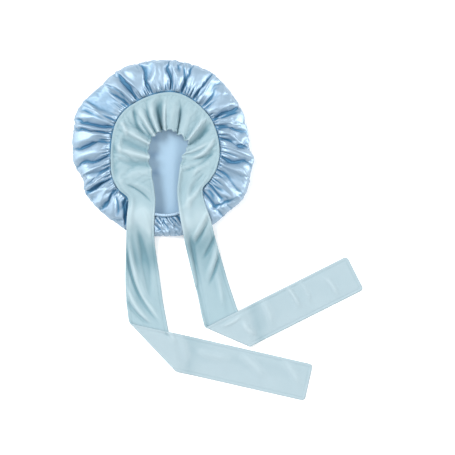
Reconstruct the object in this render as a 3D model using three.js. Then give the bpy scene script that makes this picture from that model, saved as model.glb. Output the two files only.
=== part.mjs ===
// A satin sleep bonnet with a wide tie band, lying crown down on a flat surface with its opening up.
// Millimetres, +Z up. +Y points to the front of the bonnet, over the forehead, and -Y to the nape.
// The origin is the middle of the crown, where it rests on the surface.
import * as THREE from "three";

// Cloths: colour and roughness, and their walls.
const SATIN = { color: 0xa4c5e6, roughness: 0.35 };
const KNIT = { color: 0xbdd6dc, roughness: 0.8 };
const SATIN_WALL = 1.5;
const BAND_WALL = 2;
const BAND_WIDTH = 71;
const GAP = 0.4; // between two pieces that touch

// Seam between the crown and the band.
const RIM_TUCK = 6; // the crown's sewn rim runs this far in under the band
const RIM_FOLD = 0.03; // share of a fold's rise that is left in the sewn rim
const FOLD_FADE = 0.55; // a fold starts to die out at this share of its reach
const RUFFLE_START = 0.05; // ruffles rise from this share of the way across the band
const RUFFLE_FULL = 0.9; // and have their full height from this one on

// Ties.
const TURN_GAP = 0.6; // between the two layers where a tie is turned over
const SINK = 30; // a tie that leaves the layer under it comes down over this length
const TIE_CORNER = 7; // radius of the sewn corners at a tie's end
const SWING_LENGTH = 130; // past the turned edge the cross rows swing square again over this length
const PLEAT_FADE = 1; // a tie's fold rises and dies out over this many rows of the band's table

// Elastic casing along the nape.
const CASING = { from: 243, to: 303, width: 9, height: 3.4, gathers: 15, depth: 0.8 };

// Steps of the faceted surfaces.
const SAME_POINT = 0.001; // corners closer than this are one point
const CROWN_STEPS = 160;
const BAND_STEPS = 54;
const ACROSS_STEPS = 10;
const STEPS_PER_ROW = 3; // cross rows of a tie for each row of the band's table
const BEFORE_STEPS = 4; // then before, round and after its turned edge
const TURN_STEPS = 4;
const AFTER_STEPS = 7;
const CORNER_SHARES = [0.6, 0.9, 1]; // rows in the rounded corners, as shares of their radius
const CASING_STEPS = 45;
const CASING_SIDES = 6;

// Plan of the crown by the clock angle from +X: radius of the seam, radius of the outline,
// and height of the sewn rim above the surface.
const PLAN = [
  { angle: 0, seam: 108, outline: 165, rim: 26 },
  { angle: 15, seam: 107, outline: 165, rim: 26 },
  { angle: 30, seam: 106, outline: 165, rim: 26 },
  { angle: 45, seam: 105, outline: 165, rim: 26 },
  { angle: 60, seam: 106, outline: 167, rim: 26 },
  { angle: 75, seam: 107, outline: 169, rim: 26 },
  { angle: 90, seam: 104, outline: 168, rim: 26 },
  { angle: 105, seam: 100, outline: 168, rim: 26 },
  { angle: 120, seam: 99, outline: 168, rim: 26 },
  { angle: 135, seam: 100, outline: 170, rim: 26 },
  { angle: 150, seam: 100, outline: 174, rim: 26 },
  { angle: 165, seam: 98, outline: 176, rim: 26 },
  { angle: 180, seam: 98, outline: 174, rim: 26 },
  { angle: 195, seam: 101, outline: 173, rim: 26 },
  { angle: 210, seam: 109, outline: 172, rim: 25.5 },
  { angle: 225, seam: 115, outline: 172, rim: 24 },
  { angle: 240, seam: 117, outline: 172, rim: 22 },
  { angle: 255, seam: 123, outline: 171, rim: 22 },
  { angle: 270, seam: 126, outline: 168, rim: 22 },
  { angle: 285, seam: 127, outline: 170, rim: 22 },
  { angle: 300, seam: 119, outline: 175, rim: 22 },
  { angle: 315, seam: 108, outline: 178, rim: 24 },
  { angle: 330, seam: 108, outline: 181, rim: 25.5 },
  { angle: 345, seam: 109, outline: 175, rim: 26 },
];

// Profile of the crown from its rim, over the gathered top and round the outline, down to the
// surface: share of the way from the seam to the outline, a shift outwards, the height as a share
// of the rim's, and how much of each fold shows there.
const PROFILE = [
  { share: 0, shift: -RIM_TUCK, height: 1, fold: RIM_FOLD },
  { share: 0, shift: GAP, height: 1, fold: RIM_FOLD },
  { share: 0.1, shift: 0, height: 1.1, fold: 0.8 },
  { share: 0.3, shift: 0, height: 1.13, fold: 1 },
  { share: 0.56, shift: 0, height: 1, fold: 0.85 },
  { share: 0.8, shift: 0, height: 0.77, fold: 0.55 },
  { share: 0.95, shift: 0, height: 0.5, fold: 0.3 },
  { share: 1, shift: 0, height: 0.27, fold: 0.1 },
  { share: 0.95, shift: 0, height: 0, fold: 0 },
];

// Folds of the gathered satin: clock angle where a fold leaves the seam and where it meets the
// outline, half width in degrees, rise in mm (below zero for a crease), and the share of the way
// to the outline where it has died out.
const FOLDS = [
  { seam: 1, edge: -8, width: 3, rise: 5, reach: 1 },
  { seam: 9, edge: -3, width: 2.4, rise: -6, reach: 1 },
  { seam: 15, edge: 4, width: 2.8, rise: 5, reach: 1 },
  { seam: 20, edge: 13, width: 2.8, rise: -5, reach: 0.8 },
  { seam: 25, edge: 18, width: 2.2, rise: 3, reach: 0.6 },
  { seam: 29, edge: 23, width: 2.2, rise: -7, reach: 1.2 },
  { seam: 37, edge: 34, width: 4.5, rise: 5, reach: 1.2 },
  { seam: 46, edge: 46, width: 3, rise: -4, reach: 0.7 },
  { seam: 52, edge: 53, width: 2.2, rise: 5, reach: 1 },
  { seam: 57, edge: 57, width: 2.2, rise: -4, reach: 0.8 },
  { seam: 63, edge: 65, width: 3.5, rise: 3, reach: 1 },
  { seam: 71, edge: 73, width: 2, rise: -6, reach: 1 },
  { seam: 76, edge: 79, width: 2.6, rise: 4, reach: 1 },
  { seam: 83, edge: 85, width: 2.8, rise: -6, reach: 0.9 },
  { seam: 89, edge: 92, width: 3, rise: 3, reach: 1 },
  { seam: 94, edge: 98, width: 2.6, rise: 3, reach: 1 },
  { seam: 100, edge: 108, width: 2.4, rise: -6, reach: 1.1 },
  { seam: 109, edge: 119, width: 3.4, rise: 5, reach: 1.2 },
  { seam: 117, edge: 125, width: 2.2, rise: -5, reach: 0.8 },
  { seam: 122, edge: 132, width: 2.6, rise: 4, reach: 1 },
  { seam: 129, edge: 135, width: 2.2, rise: -6, reach: 0.6 },
  { seam: 141, edge: 144, width: 6, rise: 2, reach: 1.2 },
  { seam: 152, edge: 153, width: 2, rise: 4, reach: 1.2 },
  { seam: 157, edge: 160, width: 2.2, rise: -6, reach: 1.1 },
  { seam: 161, edge: 166, width: 2.2, rise: 4, reach: 1 },
  { seam: 165, edge: 170, width: 2.2, rise: -4, reach: 0.8 },
  { seam: 169, edge: 175, width: 2.6, rise: 4, reach: 1.1 },
  { seam: 174, edge: 182, width: 2.4, rise: -7, reach: 0.8 },
  { seam: 181, edge: 188, width: 3.2, rise: 4, reach: 1.1 },
  { seam: 187, edge: 195, width: 2.4, rise: -5, reach: 0.8 },
  { seam: 194, edge: 200, width: 3, rise: 5, reach: 1.1 },
  { seam: 201, edge: 204, width: 2.4, rise: -4, reach: 0.7 },
  { seam: 206, edge: 206, width: 2, rise: 4, reach: 1 },
  { seam: 212, edge: 211, width: 2.6, rise: -8, reach: 1.1 },
  { seam: 218, edge: 220, width: 2.2, rise: 5, reach: 1.1 },
  { seam: 223, edge: 227, width: 2.2, rise: -5, reach: 0.8 },
  { seam: 228, edge: 234, width: 2.4, rise: 4, reach: 1 },
  { seam: 235, edge: 244, width: 2.8, rise: -7, reach: 1 },
  { seam: 248, edge: 251, width: 3, rise: 2, reach: 1 },
  { seam: 257, edge: 259, width: 2.4, rise: 2, reach: 1 },
  { seam: 262, edge: 267, width: 1.8, rise: -4, reach: 1 },
  { seam: 266, edge: 272, width: 2, rise: 2, reach: 1 },
  { seam: 271, edge: 276, width: 1.8, rise: -3, reach: 0.9 },
  { seam: 275, edge: 279, width: 2, rise: 2, reach: 1 },
  { seam: 281, edge: 284, width: 2, rise: -4, reach: 0.8 },
  { seam: 288, edge: 290, width: 3, rise: 2, reach: 1 },
  { seam: 296, edge: 297, width: 2.6, rise: -4, reach: 1 },
  { seam: 304, edge: 302, width: 3, rise: 2, reach: 1 },
  { seam: 313, edge: 310, width: 3, rise: -6, reach: 0.8 },
  { seam: 322, edge: 319, width: 2.6, rise: -5, reach: 0.8 },
  { seam: 330, edge: 326, width: 2.6, rise: 4, reach: 1.1 },
  { seam: 338, edge: 332, width: 2.8, rise: -4, reach: 0.8 },
  { seam: 347, edge: 338, width: 3.4, rise: 5, reach: 1 },
  { seam: 354, edge: 347, width: 2.2, rise: -5, reach: 0.9 },
];

// Cross rows of the tie band from the left tie, round the front of the opening, to the right tie:
// outer edge and inner edge in plan, and height of each edge's underside. The rows named here part
// the ties from the front.
const LEFT_END = 5;
const RIGHT_END = 25;
const PART_LINE = 0.006; // share of a row left free on each side of a parting
const BAND = [
  { outerX: -68, outerY: -298, innerX: 1, innerY: -286, outerZ: 0, innerZ: 0 },
  { outerX: -71, outerY: -254, innerX: -9, innerY: -247, outerZ: 0, innerZ: 0 },
  { outerX: -70, outerY: -213, innerX: -14, innerY: -212, outerZ: 0.3, innerZ: 0.3 },
  { outerX: -68, outerY: -172, innerX: -17, innerY: -172, outerZ: 13, innerZ: 14 },
  { outerX: -67, outerY: -130, innerX: -15, innerY: -132, outerZ: 26.5, innerZ: 26.5 },
  { outerX: -65, outerY: -97, innerX: -13, innerY: -101, outerZ: 24.4, innerZ: 26.1 },
  { outerX: -83, outerY: -79, innerX: -15, innerY: -80, outerZ: 25.2, innerZ: 26 },
  { outerX: -95, outerY: -55, innerX: -19, innerY: -57, outerZ: 26.5, innerZ: 26 },
  { outerX: -98, outerY: -27, innerX: -24, innerY: -32, outerZ: 26.7, innerZ: 25 },
  { outerX: -97, outerY: 0, innerX: -27, innerY: -14, outerZ: 26.7, innerZ: 24 },
  { outerX: -94, outerY: 25, innerX: -27, innerY: 0, outerZ: 26.7, innerZ: 24 },
  { outerX: -87, outerY: 48, innerX: -24, innerY: 10, outerZ: 26.7, innerZ: 24 },
  { outerX: -72, outerY: 69, innerX: -19, innerY: 20, outerZ: 26.7, innerZ: 24 },
  { outerX: -50, outerY: 85, innerX: -10, innerY: 28, outerZ: 26.7, innerZ: 24 },
  { outerX: -24, outerY: 97, innerX: 0, innerY: 32, outerZ: 26.7, innerZ: 24 },
  { outerX: 4, outerY: 103.5, innerX: 10, innerY: 34, outerZ: 26.7, innerZ: 24 },
  { outerX: 30, outerY: 102, innerX: 20, innerY: 32, outerZ: 26.7, innerZ: 24 },
  { outerX: 54, outerY: 91, innerX: 30, innerY: 26, outerZ: 26.7, innerZ: 24 },
  { outerX: 75, outerY: 74, innerX: 40, innerY: 19, outerZ: 26.7, innerZ: 24 },
  { outerX: 92, outerY: 53, innerX: 47, innerY: 11, outerZ: 26.7, innerZ: 24 },
  { outerX: 102.5, outerY: 28, innerX: 48, innerY: 2, outerZ: 26.7, innerZ: 24 },
  { outerX: 107.5, outerY: 2, innerX: 43, innerY: -8, outerZ: 26.7, innerZ: 24 },
  { outerX: 107, outerY: -22, innerX: 37, innerY: -21, outerZ: 26.7, innerZ: 25 },
  { outerX: 100, outerY: -45, innerX: 33, innerY: -38, outerZ: 26.7, innerZ: 26 },
  { outerX: 89, outerY: -62, innerX: 30, innerY: -59, outerZ: 26, innerZ: 26 },
  { outerX: 76, outerY: -79, innerX: 28, innerY: -84, outerZ: 25, innerZ: 26 },
  { outerX: 80.5, outerY: -106, innerX: 31, innerY: -117, outerZ: 26.8, innerZ: 27.4 },
  { outerX: 91, outerY: -136, innerX: 36.5, innerY: -150, outerZ: 24, innerZ: 24.4 },
  { outerX: 99.5, outerY: -171, innerX: 43.5, innerY: -187, outerZ: 10, innerZ: 7 },
  { outerX: 110, outerY: -207.5, innerX: 52, innerY: -224, outerZ: 0.3, innerZ: 0 },
  { outerX: 120.5, outerY: -244, innerX: 61, innerY: -261.5, outerZ: 0, innerZ: 0 },
];

// Ruffles of the band's free inner edge: place along the band, in rows of the table above, at the
// outer edge and at the inner edge, half width in rows, and rise at the inner edge in mm.
const RUFFLES = [
  { outer: 7, inner: 8, width: 0.7, rise: -2 },
  { outer: 9.4, inner: 9.6, width: 0.6, rise: 2 },
  { outer: 10.9, inner: 10.8, width: 0.6, rise: -4 },
  { outer: 11.8, inner: 11.5, width: 0.45, rise: 4 },
  { outer: 12.4, inner: 12.1, width: 0.35, rise: -5 },
  { outer: 12.9, inner: 12.7, width: 0.35, rise: 6 },
  { outer: 13.5, inner: 13.3, width: 0.3, rise: -2 },
  { outer: 13.9, inner: 13.8, width: 0.35, rise: 5 },
  { outer: 14.5, inner: 14.3, width: 0.32, rise: -8 },
  { outer: 15, inner: 14.9, width: 0.32, rise: 6 },
  { outer: 15.7, inner: 15.6, width: 0.35, rise: -2 },
  { outer: 16.1, inner: 16.2, width: 0.3, rise: -4 },
  { outer: 16.5, inner: 16.8, width: 0.32, rise: 6 },
  { outer: 17.3, inner: 17.7, width: 0.4, rise: -4 },
  { outer: 18.2, inner: 18.6, width: 0.4, rise: 6 },
  { outer: 19, inner: 19.6, width: 0.4, rise: -7 },
  { outer: 20, inner: 20.7, width: 0.45, rise: 5 },
  { outer: 20.8, inner: 21.6, width: 0.45, rise: -5 },
  { outer: 21.7, inner: 22.4, width: 0.5, rise: 3 },
];

// Lengthwise folds of the ties: rows of the band's table between which a fold shows, its share of
// the way across from the outer edge at both, half width as a share of the band's, and its rise.
const PLEATS = [
  { from: 0, to: 7, start: 0.5, end: 0.12, width: 0.1, rise: 4.5 },
  { from: -0.4, to: 4.5, start: 0.24, end: 0.02, width: 0.08, rise: 3.5 },
  { from: 1, to: 7.5, start: 0.88, end: 0.74, width: 0.14, rise: 3.5 },
  { from: 22.5, to: 30.5, start: 0.96, end: 0.9, width: 0.06, rise: 3 },
  { from: 22, to: 27.6, start: 0.5, end: 0.52, width: 0.13, rise: 4 },
  { from: 24.6, to: 29.6, start: 0.1, end: 0.4, width: 0.1, rise: 4 },
];

// The turned-over ties in plan: middle of the tie at its turned edge, middle of its end, and which
// side of its way down the outer edge lies on (-1 clockwise, 1 anticlockwise).
const LEFT_TIE = { turnX: -21, turnY: -372, endX: 278, endY: -442, side: -1 };
const RIGHT_TIE = { turnX: 121, turnY: -357, endX: 364, endY: -236, side: 1 };

const { degToRad, euclideanModulo, lerp, smoothstep } = THREE.MathUtils;

/** The row of a table at a place, worked out from the four rows round it as a smooth curve. */
function smoothRow(rows, place, closed = false) {
  const first = Math.floor(place);
  const t = place - first;
  const pick = (i) =>
    rows[closed ? euclideanModulo(i, rows.length) : THREE.MathUtils.clamp(i, 0, rows.length - 1)];
  const [a, b, c, d] = [pick(first - 1), pick(first), pick(first + 1), pick(first + 2)];
  const row = {};
  for (const column of Object.keys(b)) {
    const slopeIn = (c[column] - a[column]) / 2;
    const slopeOut = (d[column] - b[column]) / 2;
    const rise = c[column] - b[column];
    const curve = (2 * t - 3) * t * t;
    row[column] = b[column] - curve * rise + t * (1 - t) * ((1 - t) * slopeIn - t * slopeOut);
  }
  return row;
}

/** Seam radius, outline radius and rim height of the crown at a clock angle. */
function planAt(angle) {
  const step = PLAN[1].angle - PLAN[0].angle;
  return smoothRow(PLAN, euclideanModulo(angle, 360) / step, true);
}

/** Rise of all folds at a clock angle and a share of the way from the seam to the outline. */
function foldRise(angle, share) {
  let rise = 0;
  for (const fold of FOLDS) {
    const middle = lerp(fold.seam, fold.edge, share);
    const off = euclideanModulo(angle - middle + 180, 360) - 180;
    const fade = 1 - smoothstep(share, fold.reach * FOLD_FADE, fold.reach);
    rise += fold.rise * fade * Math.exp(-((off / fold.width) ** 2));
  }
  return rise;
}

/** The crown's profile at a clock angle: [radius, height] of the outer face, with no folds. */
function profileAt(angle) {
  const plan = planAt(angle);
  return PROFILE.map(({ share, shift, height }) => [
    lerp(plan.seam, plan.outline, share) + shift,
    plan.rim * height,
  ]);
}

/** A profile moved inwards by the wall, square to its own line. */
function insideOf(profile, wall) {
  return profile.map(([radius, height], i) => {
    const before = profile[Math.max(i - 1, 0)];
    const after = profile[Math.min(i + 1, profile.length - 1)];
    const run = [after[0] - before[0], after[1] - before[1]];
    const length = Math.hypot(...run);
    return [radius + (run[1] / length) * wall, height - (run[0] / length) * wall];
  });
}

/** Adds the two triangles of a four-sided face, leaving out any that has no area. */
function addFace(corners, a, b, c, d) {
  const apart = (p, q) => p.distanceTo(q) > SAME_POINT;
  for (const [p, q, r] of [[a, b, c], [a, c, d]]) {
    if (apart(p, q) && apart(q, r) && apart(r, p)) corners.push(p, q, r);
  }
}

/** A mesh from its triangles' corners, in one of the cloths. */
function clothMesh(name, corners, cloth) {
  const geometry = new THREE.BufferGeometry().setFromPoints(corners);
  geometry.computeVertexNormals();
  const material = new THREE.MeshStandardMaterial({ ...cloth, metalness: 0 });
  const mesh = new THREE.Mesh(geometry, material);
  mesh.name = name;
  return mesh;
}

/** Faces between loops of points, each loop closed on itself, and a cap on the first and last. */
function skinOfLoops(loops) {
  const corners = [];
  const count = loops[0].length;
  for (let i = 0; i + 1 < loops.length; i++) {
    for (let j = 0; j < count; j++) {
      const k = (j + 1) % count;
      addFace(corners, loops[i][j], loops[i][k], loops[i + 1][k], loops[i + 1][j]);
    }
  }
  const first = loops[0];
  const last = loops[loops.length - 1];
  for (let j = 0; j + 1 < count / 2; j++) {
    const far = count - 1 - j;
    addFace(corners, first[j], first[far], first[far - 1], first[j + 1]);
    addFace(corners, last[j], last[j + 1], last[far - 1], last[far]);
  }
  return corners;
}

/** The satin crown: a gathered bag, open at its rim, flat where it rests. */
function crown() {
  const sections = [];
  for (let i = 0; i < CROWN_STEPS; i++) {
    const angle = (i / CROWN_STEPS) * 360;
    const turn = degToRad(angle);
    const outer = profileAt(angle);
    const inner = insideOf(outer, SATIN_WALL);
    inner[inner.length - 1][1] = SATIN_WALL;
    const place = (profile) =>
      profile.map(([radius, height], row) => {
        const { share, fold } = PROFILE[row];
        const z = height + fold * foldRise(angle, share);
        return new THREE.Vector3(radius * Math.cos(turn), radius * Math.sin(turn), z);
      });
    const poleOut = new THREE.Vector3(0, 0, 0);
    const poleIn = new THREE.Vector3(0, 0, SATIN_WALL);
    sections.push([poleOut, ...place(outer).reverse(), ...place(inner), poleIn]);
  }
  const corners = [];
  for (let i = 0; i < CROWN_STEPS; i++) {
    const here = sections[i];
    const next = sections[(i + 1) % CROWN_STEPS];
    for (let j = 0; j + 1 < here.length; j++) {
      addFace(corners, here[j], next[j], next[j + 1], here[j + 1]);
    }
  }
  return clothMesh("crown", corners, SATIN);
}

/** Rise of the ruffles at a place along the band and a share of the way across it. */
function ruffleRise(along, across) {
  let rise = 0;
  for (const ruffle of RUFFLES) {
    const off = (along - lerp(ruffle.outer, ruffle.inner, across)) / ruffle.width;
    rise += ruffle.rise * Math.exp(-(off ** 2));
  }
  return rise * smoothstep(across, RUFFLE_START, RUFFLE_FULL);
}

/** Rise of the ties' lengthwise folds at a place along the band and a share of the way across. */
function pleatRise(along, across) {
  let rise = 0;
  for (const { from, to, start, end, width, rise: height } of PLEATS) {
    const middle = lerp(start, end, (along - from) / (to - from));
    const shows = smoothstep(along, from, from + PLEAT_FADE) * (1 - smoothstep(along, to - PLEAT_FADE, to));
    rise += height * shows * Math.exp(-(((across - middle) / width) ** 2));
  }
  return rise;
}

/** Both faces of the band across one place along it, as a loop: top face out, underside back. */
function bandLoop(along) {
  const row = smoothRow(BAND, along);
  const top = [];
  const under = [];
  for (let j = 0; j <= ACROSS_STEPS; j++) {
    const across = j / ACROSS_STEPS;
    const x = lerp(row.outerX, row.innerX, across);
    const y = lerp(row.outerY, row.innerY, across);
    const flat = Math.max(lerp(row.outerZ, row.innerZ, across), 0);
    const z = flat + ruffleRise(along, across) + pleatRise(along, across);
    top.push(new THREE.Vector3(x, y, z + BAND_WALL));
    under.push(new THREE.Vector3(x, y, z));
  }
  return [...top, ...under.reverse()];
}

/** The front of the tie band, sewn along its outer edge to the crown. */
function frontBand() {
  const loops = [];
  for (let i = 0; i <= BAND_STEPS; i++) {
    loops.push(bandLoop(lerp(LEFT_END + PART_LINE, RIGHT_END - PART_LINE, i / BAND_STEPS)));
  }
  return clothMesh("front_band", skinOfLoops(loops), KNIT);
}

/** The middle of one row of the band's table, in plan. */
function rowMiddle({ outerX, outerY, innerX, innerY }) {
  return new THREE.Vector2((outerX + innerX) / 2, (outerY + innerY) / 2);
}

/**
 * The turned-over part of a tie as a function of its flat cloth: distance past the middle of the
 * turned edge, distance across towards the outer edge, and height over the middle of the wall.
 * Past the turned edge the cloth runs round a half circle and back over itself, mirrored in plan.
 */
function turnedCloth(tie, lastRow) {
  const first = rowMiddle(lastRow);
  const turn = new THREE.Vector2(tie.turnX, tie.turnY);
  const end = new THREE.Vector2(tie.endX, tie.endY);
  const down = turn.clone().sub(first).normalize();
  const outward = new THREE.Vector2(-down.y, down.x).multiplyScalar(tie.side);
  const away = end.clone().sub(turn).normalize();
  const edge = down.clone().add(away).normalize();
  const square = new THREE.Vector2(-edge.y, edge.x);
  if (square.dot(down) < 0) square.negate();
  const radius = (TURN_GAP + BAND_WALL) / 2;
  const middle = BAND_WALL / 2;
  const place = (past, across, off) => {
    const flat = turn.clone().addScaledVector(down, past).addScaledVector(outward, across);
    const beyond = flat.clone().sub(turn).dot(square);
    if (beyond <= 0) return new THREE.Vector3(flat.x, flat.y, middle + off);
    const bend = Math.min(beyond / radius, Math.PI);
    const reach = (radius - off) * Math.sin(bend) - Math.max(beyond - Math.PI * radius, 0);
    const at = flat.addScaledVector(square, reach - beyond);
    const aside = Math.abs(at.clone().sub(turn).dot(outward)) - BAND_WIDTH / 2;
    const sink = 2 * radius * smoothstep(aside, 0, SINK);
    return new THREE.Vector3(at.x, at.y, middle + radius - (radius - off) * Math.cos(bend) - sink);
  };
  return {
    place,
    start: -turn.distanceTo(first),
    turnEnd: (Math.PI * radius) / square.dot(down),
    finish: turn.distanceTo(end),
    lean: edge.dot(down) / edge.dot(outward),
  };
}

/** Distances past a tie's turned edge where its cross rows stand. */
function tieRows({ start, turnEnd, finish }) {
  const straightEnd = finish - TIE_CORNER;
  const rows = [];
  for (let i = 1; i < BEFORE_STEPS; i++) rows.push(lerp(start, 0, i / BEFORE_STEPS));
  for (let i = 0; i <= TURN_STEPS; i++) rows.push(lerp(0, turnEnd, i / TURN_STEPS));
  for (let i = 1; i <= AFTER_STEPS; i++) rows.push(lerp(turnEnd, straightEnd, i / AFTER_STEPS));
  for (const share of CORNER_SHARES) rows.push(straightEnd + TIE_CORNER * share);
  return rows;
}

/** Half of a tie's width at a distance past its turned edge, narrowed by its rounded corners. */
function halfWidth(past, { start, finish }, draped) {
  const half = lerp(draped / 2, BAND_WIDTH / 2, smoothstep(past, start, 0));
  const intoCorner = TIE_CORNER - Math.min(finish - past, TIE_CORNER);
  return half - TIE_CORNER + Math.sqrt(TIE_CORNER ** 2 - intoCorner ** 2);
}

/** A tie: its draped stretch from the band's table, then the turned-over stretch to its end. */
function tie(name, sizes, fromRow, toRow) {
  const loops = [];
  const sign = Math.sign(toRow - fromRow);
  const steps = Math.abs(toRow - fromRow) * STEPS_PER_ROW;
  for (let i = 0; i <= steps; i++) {
    loops.push(bandLoop(lerp(fromRow + sign * PART_LINE, toRow, i / steps)));
  }
  const { outerX, outerY, innerX, innerY } = BAND[toRow];
  const draped = Math.hypot(outerX - innerX, outerY - innerY);
  const cloth = turnedCloth(sizes, BAND[toRow]);
  for (const past of tieRows(cloth)) {
    const nearTurn = past < 0 ? smoothstep(past, cloth.start, 0) : 1 - smoothstep(past, 0, SWING_LENGTH);
    const half = halfWidth(past, cloth, draped);
    const face = (off) =>
      Array.from({ length: ACROSS_STEPS + 1 }, (_, j) => {
        const across = half * (1 - (2 * j) / ACROSS_STEPS);
        return cloth.place(past + nearTurn * across * cloth.lean, across, off);
      });
    loops.push([...face(BAND_WALL / 2), ...face(-BAND_WALL / 2).reverse()]);
  }
  const skin = skinOfLoops(sign < 0 ? loops.reverse() : loops);
  return clothMesh(name, skin, KNIT);
}

/** The elastic casing: a flat gathered tube on the crown's rim, along the nape. */
function napeCasing() {
  const loops = [];
  for (let i = 0; i <= CASING_STEPS; i++) {
    const share = i / CASING_STEPS;
    const angle = lerp(CASING.from, CASING.to, share);
    const turn = degToRad(angle);
    const plan = planAt(angle);
    const wave = (1 - Math.cos(share * CASING.gathers * 2 * Math.PI)) / 2;
    const height = CASING.height - CASING.depth * wave;
    const foot = plan.rim + RIM_FOLD * foldRise(angle, 0) + GAP;
    const loop = [];
    for (let j = 0; j < CASING_SIDES; j++) {
      const side = ((j + 0.5) / CASING_SIDES) * 2 * Math.PI;
      const radius = plan.seam - CASING.width / 2 + (CASING.width / 2) * Math.cos(side);
      const z = foot + (height / 2) * (1 + Math.sin(side));
      loop.push(new THREE.Vector3(radius * Math.cos(turn), radius * Math.sin(turn), z));
    }
    loops.push(loop.reverse());
  }
  return clothMesh("nape_casing", skinOfLoops(loops), SATIN);
}

const bonnet = new THREE.Group();
bonnet.add(crown());
bonnet.add(frontBand());
bonnet.add(tie("left_tie", LEFT_TIE, LEFT_END, 0));
bonnet.add(tie("right_tie", RIGHT_TIE, RIGHT_END, BAND.length - 1));
bonnet.add(napeCasing());

export default bonnet;
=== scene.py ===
"""Looks of a satin sleep bonnet with a wide knit tie band, lying crown down with its opening up.

Shapes are worked out in millimetres and put into meshes in metres. +Z is up, +Y points to the front
of the opening, and the origin is the middle of the crown, where it rests on the floor.
"""

import logging
import math
from dataclasses import dataclass, field
from enum import Enum
from typing import Sequence, Union

import bmesh
import bpy
import numpy as np
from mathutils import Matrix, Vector


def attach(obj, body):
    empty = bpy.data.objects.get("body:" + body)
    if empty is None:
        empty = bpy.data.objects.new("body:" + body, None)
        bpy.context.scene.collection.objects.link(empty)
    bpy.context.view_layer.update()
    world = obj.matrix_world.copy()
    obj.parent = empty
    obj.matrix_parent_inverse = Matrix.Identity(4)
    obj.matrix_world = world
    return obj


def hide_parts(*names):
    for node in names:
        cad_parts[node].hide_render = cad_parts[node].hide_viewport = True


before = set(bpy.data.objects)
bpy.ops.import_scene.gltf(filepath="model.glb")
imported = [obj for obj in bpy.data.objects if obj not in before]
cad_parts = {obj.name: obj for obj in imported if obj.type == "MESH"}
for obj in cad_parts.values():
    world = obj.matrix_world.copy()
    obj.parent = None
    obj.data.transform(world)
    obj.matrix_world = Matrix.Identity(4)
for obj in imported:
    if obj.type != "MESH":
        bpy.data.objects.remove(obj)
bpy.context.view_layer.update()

LOG = logging.getLogger("bonnet")
MM = 0.001
TURN = 360.0

# Height of the crown's lowest points over the floor, in mm.
LOWEST = 0.1

# The picture: a square of 455 pixels, 1.9 mm to a pixel on the floor.
PICTURE_SIDE = 455 * 1.9
PICTURE_MIDDLE = (122.55, -151.05)
CAMERA_HEIGHT = 3200.0
SENSOR = 36.0


class ClothSide(Enum):
    """The two sides of a satin."""

    RIGHT = "right side, glossy"
    WRONG = "wrong side, dull"


Pair = tuple[float, float]
Colour = tuple[float, float, float, float]

# Plan of the crown every 15 degrees from +X: radius of the seam and height of the sewn rim.
PLAN_STEP = 15.0
SEAM_RADIUS = (108, 107, 106, 105, 106, 107, 104, 100, 99, 100, 100, 98,
               98, 101, 109, 115, 118, 127, 131, 130, 121, 108, 108, 109)
RIM_HEIGHT = (26, 26, 26, 26, 26, 26, 26, 26, 26, 26, 26, 26,
              26, 26, 25.5, 24, 22, 22, 22, 22, 22, 24, 25.5, 26)

# Clock angle of the crown's plain panel, which has hardly any gathers, and of its nape.
PLAIN_PANEL = 141.5
NAPE = 268

# Clock angles at which the seam and the outline are read before they are smoothed.
RING_SPOTS = np.arange(0, TURN, 0.5)

# Outline of the crown: clock angle and radius where it bulges or is nipped in.
OUTLINE = (
    (0, 163.6), (4, 162.7), (12, 163.5), (20, 165), (25, 166.8), (34, 165.5), (43, 166.7), (52, 168.9),
    (59, 169), (67, 168.8), (75, 167.7), (84, 168.5), (90, 166.5), (104, 168.2), (112, 167.5),
    (121.5, 168.9), (133, 166.3), (143, 170.5), (153, 176.1), (162, 176.3), (170, 172), (181, 171.8),
    (188, 171.2), (195, 168.2), (200, 163.4), (205, 165), (208, 170.9), (212, 172.2), (218, 168.9),
    (227, 168), (236, 167.5), (247, 172.5), (260, 170.5), (271, 168.2), (283.5, 170.6), (293, 172.5),
    (303, 174.7), (316, 174.4), (324, 179.7), (329, 181.2), (334, 179.9), (343, 174.6), (350.5, 174.7),
    (353, 173.7), (356.6, 169.2),
)


@dataclass(frozen=True)
class ProfileRow:
    """A point of the crown's profile.

    Attributes:
        share: Share of the way from the seam to the outline.
        shift: Shift outwards in mm.
        height: Height as a share of the rim's.
        fold: How much of each fold shows there.
    """

    share: float
    shift: float
    height: float
    fold: float


PROFILE = tuple(ProfileRow(*row) for row in (
    (0, -6, 1, 0.02), (0, 0.4, 1, 0.04), (0.1, 0, 1.09, 0.8), (0.3, 0, 1.12, 1), (0.56, 0, 1.02, 1),
    (0.8, 0, 0.84, 0.8), (0.95, 0, 0.56, 0.5), (1, 0, 0.26, 0.18), (0.95, 0, 0.004, 0),
))


@dataclass(frozen=True)
class Fold:
    """A fold of the gathered satin.

    Attributes:
        seam: Clock angle where it leaves the seam.
        edge: Clock angle where it meets the outline.
        width: Half width in degrees.
        rise: Rise in mm, below zero for a crease.
        reach: Share of the way to the outline where it has died out.
    """

    seam: float
    edge: float
    width: float
    rise: float
    reach: float


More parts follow.
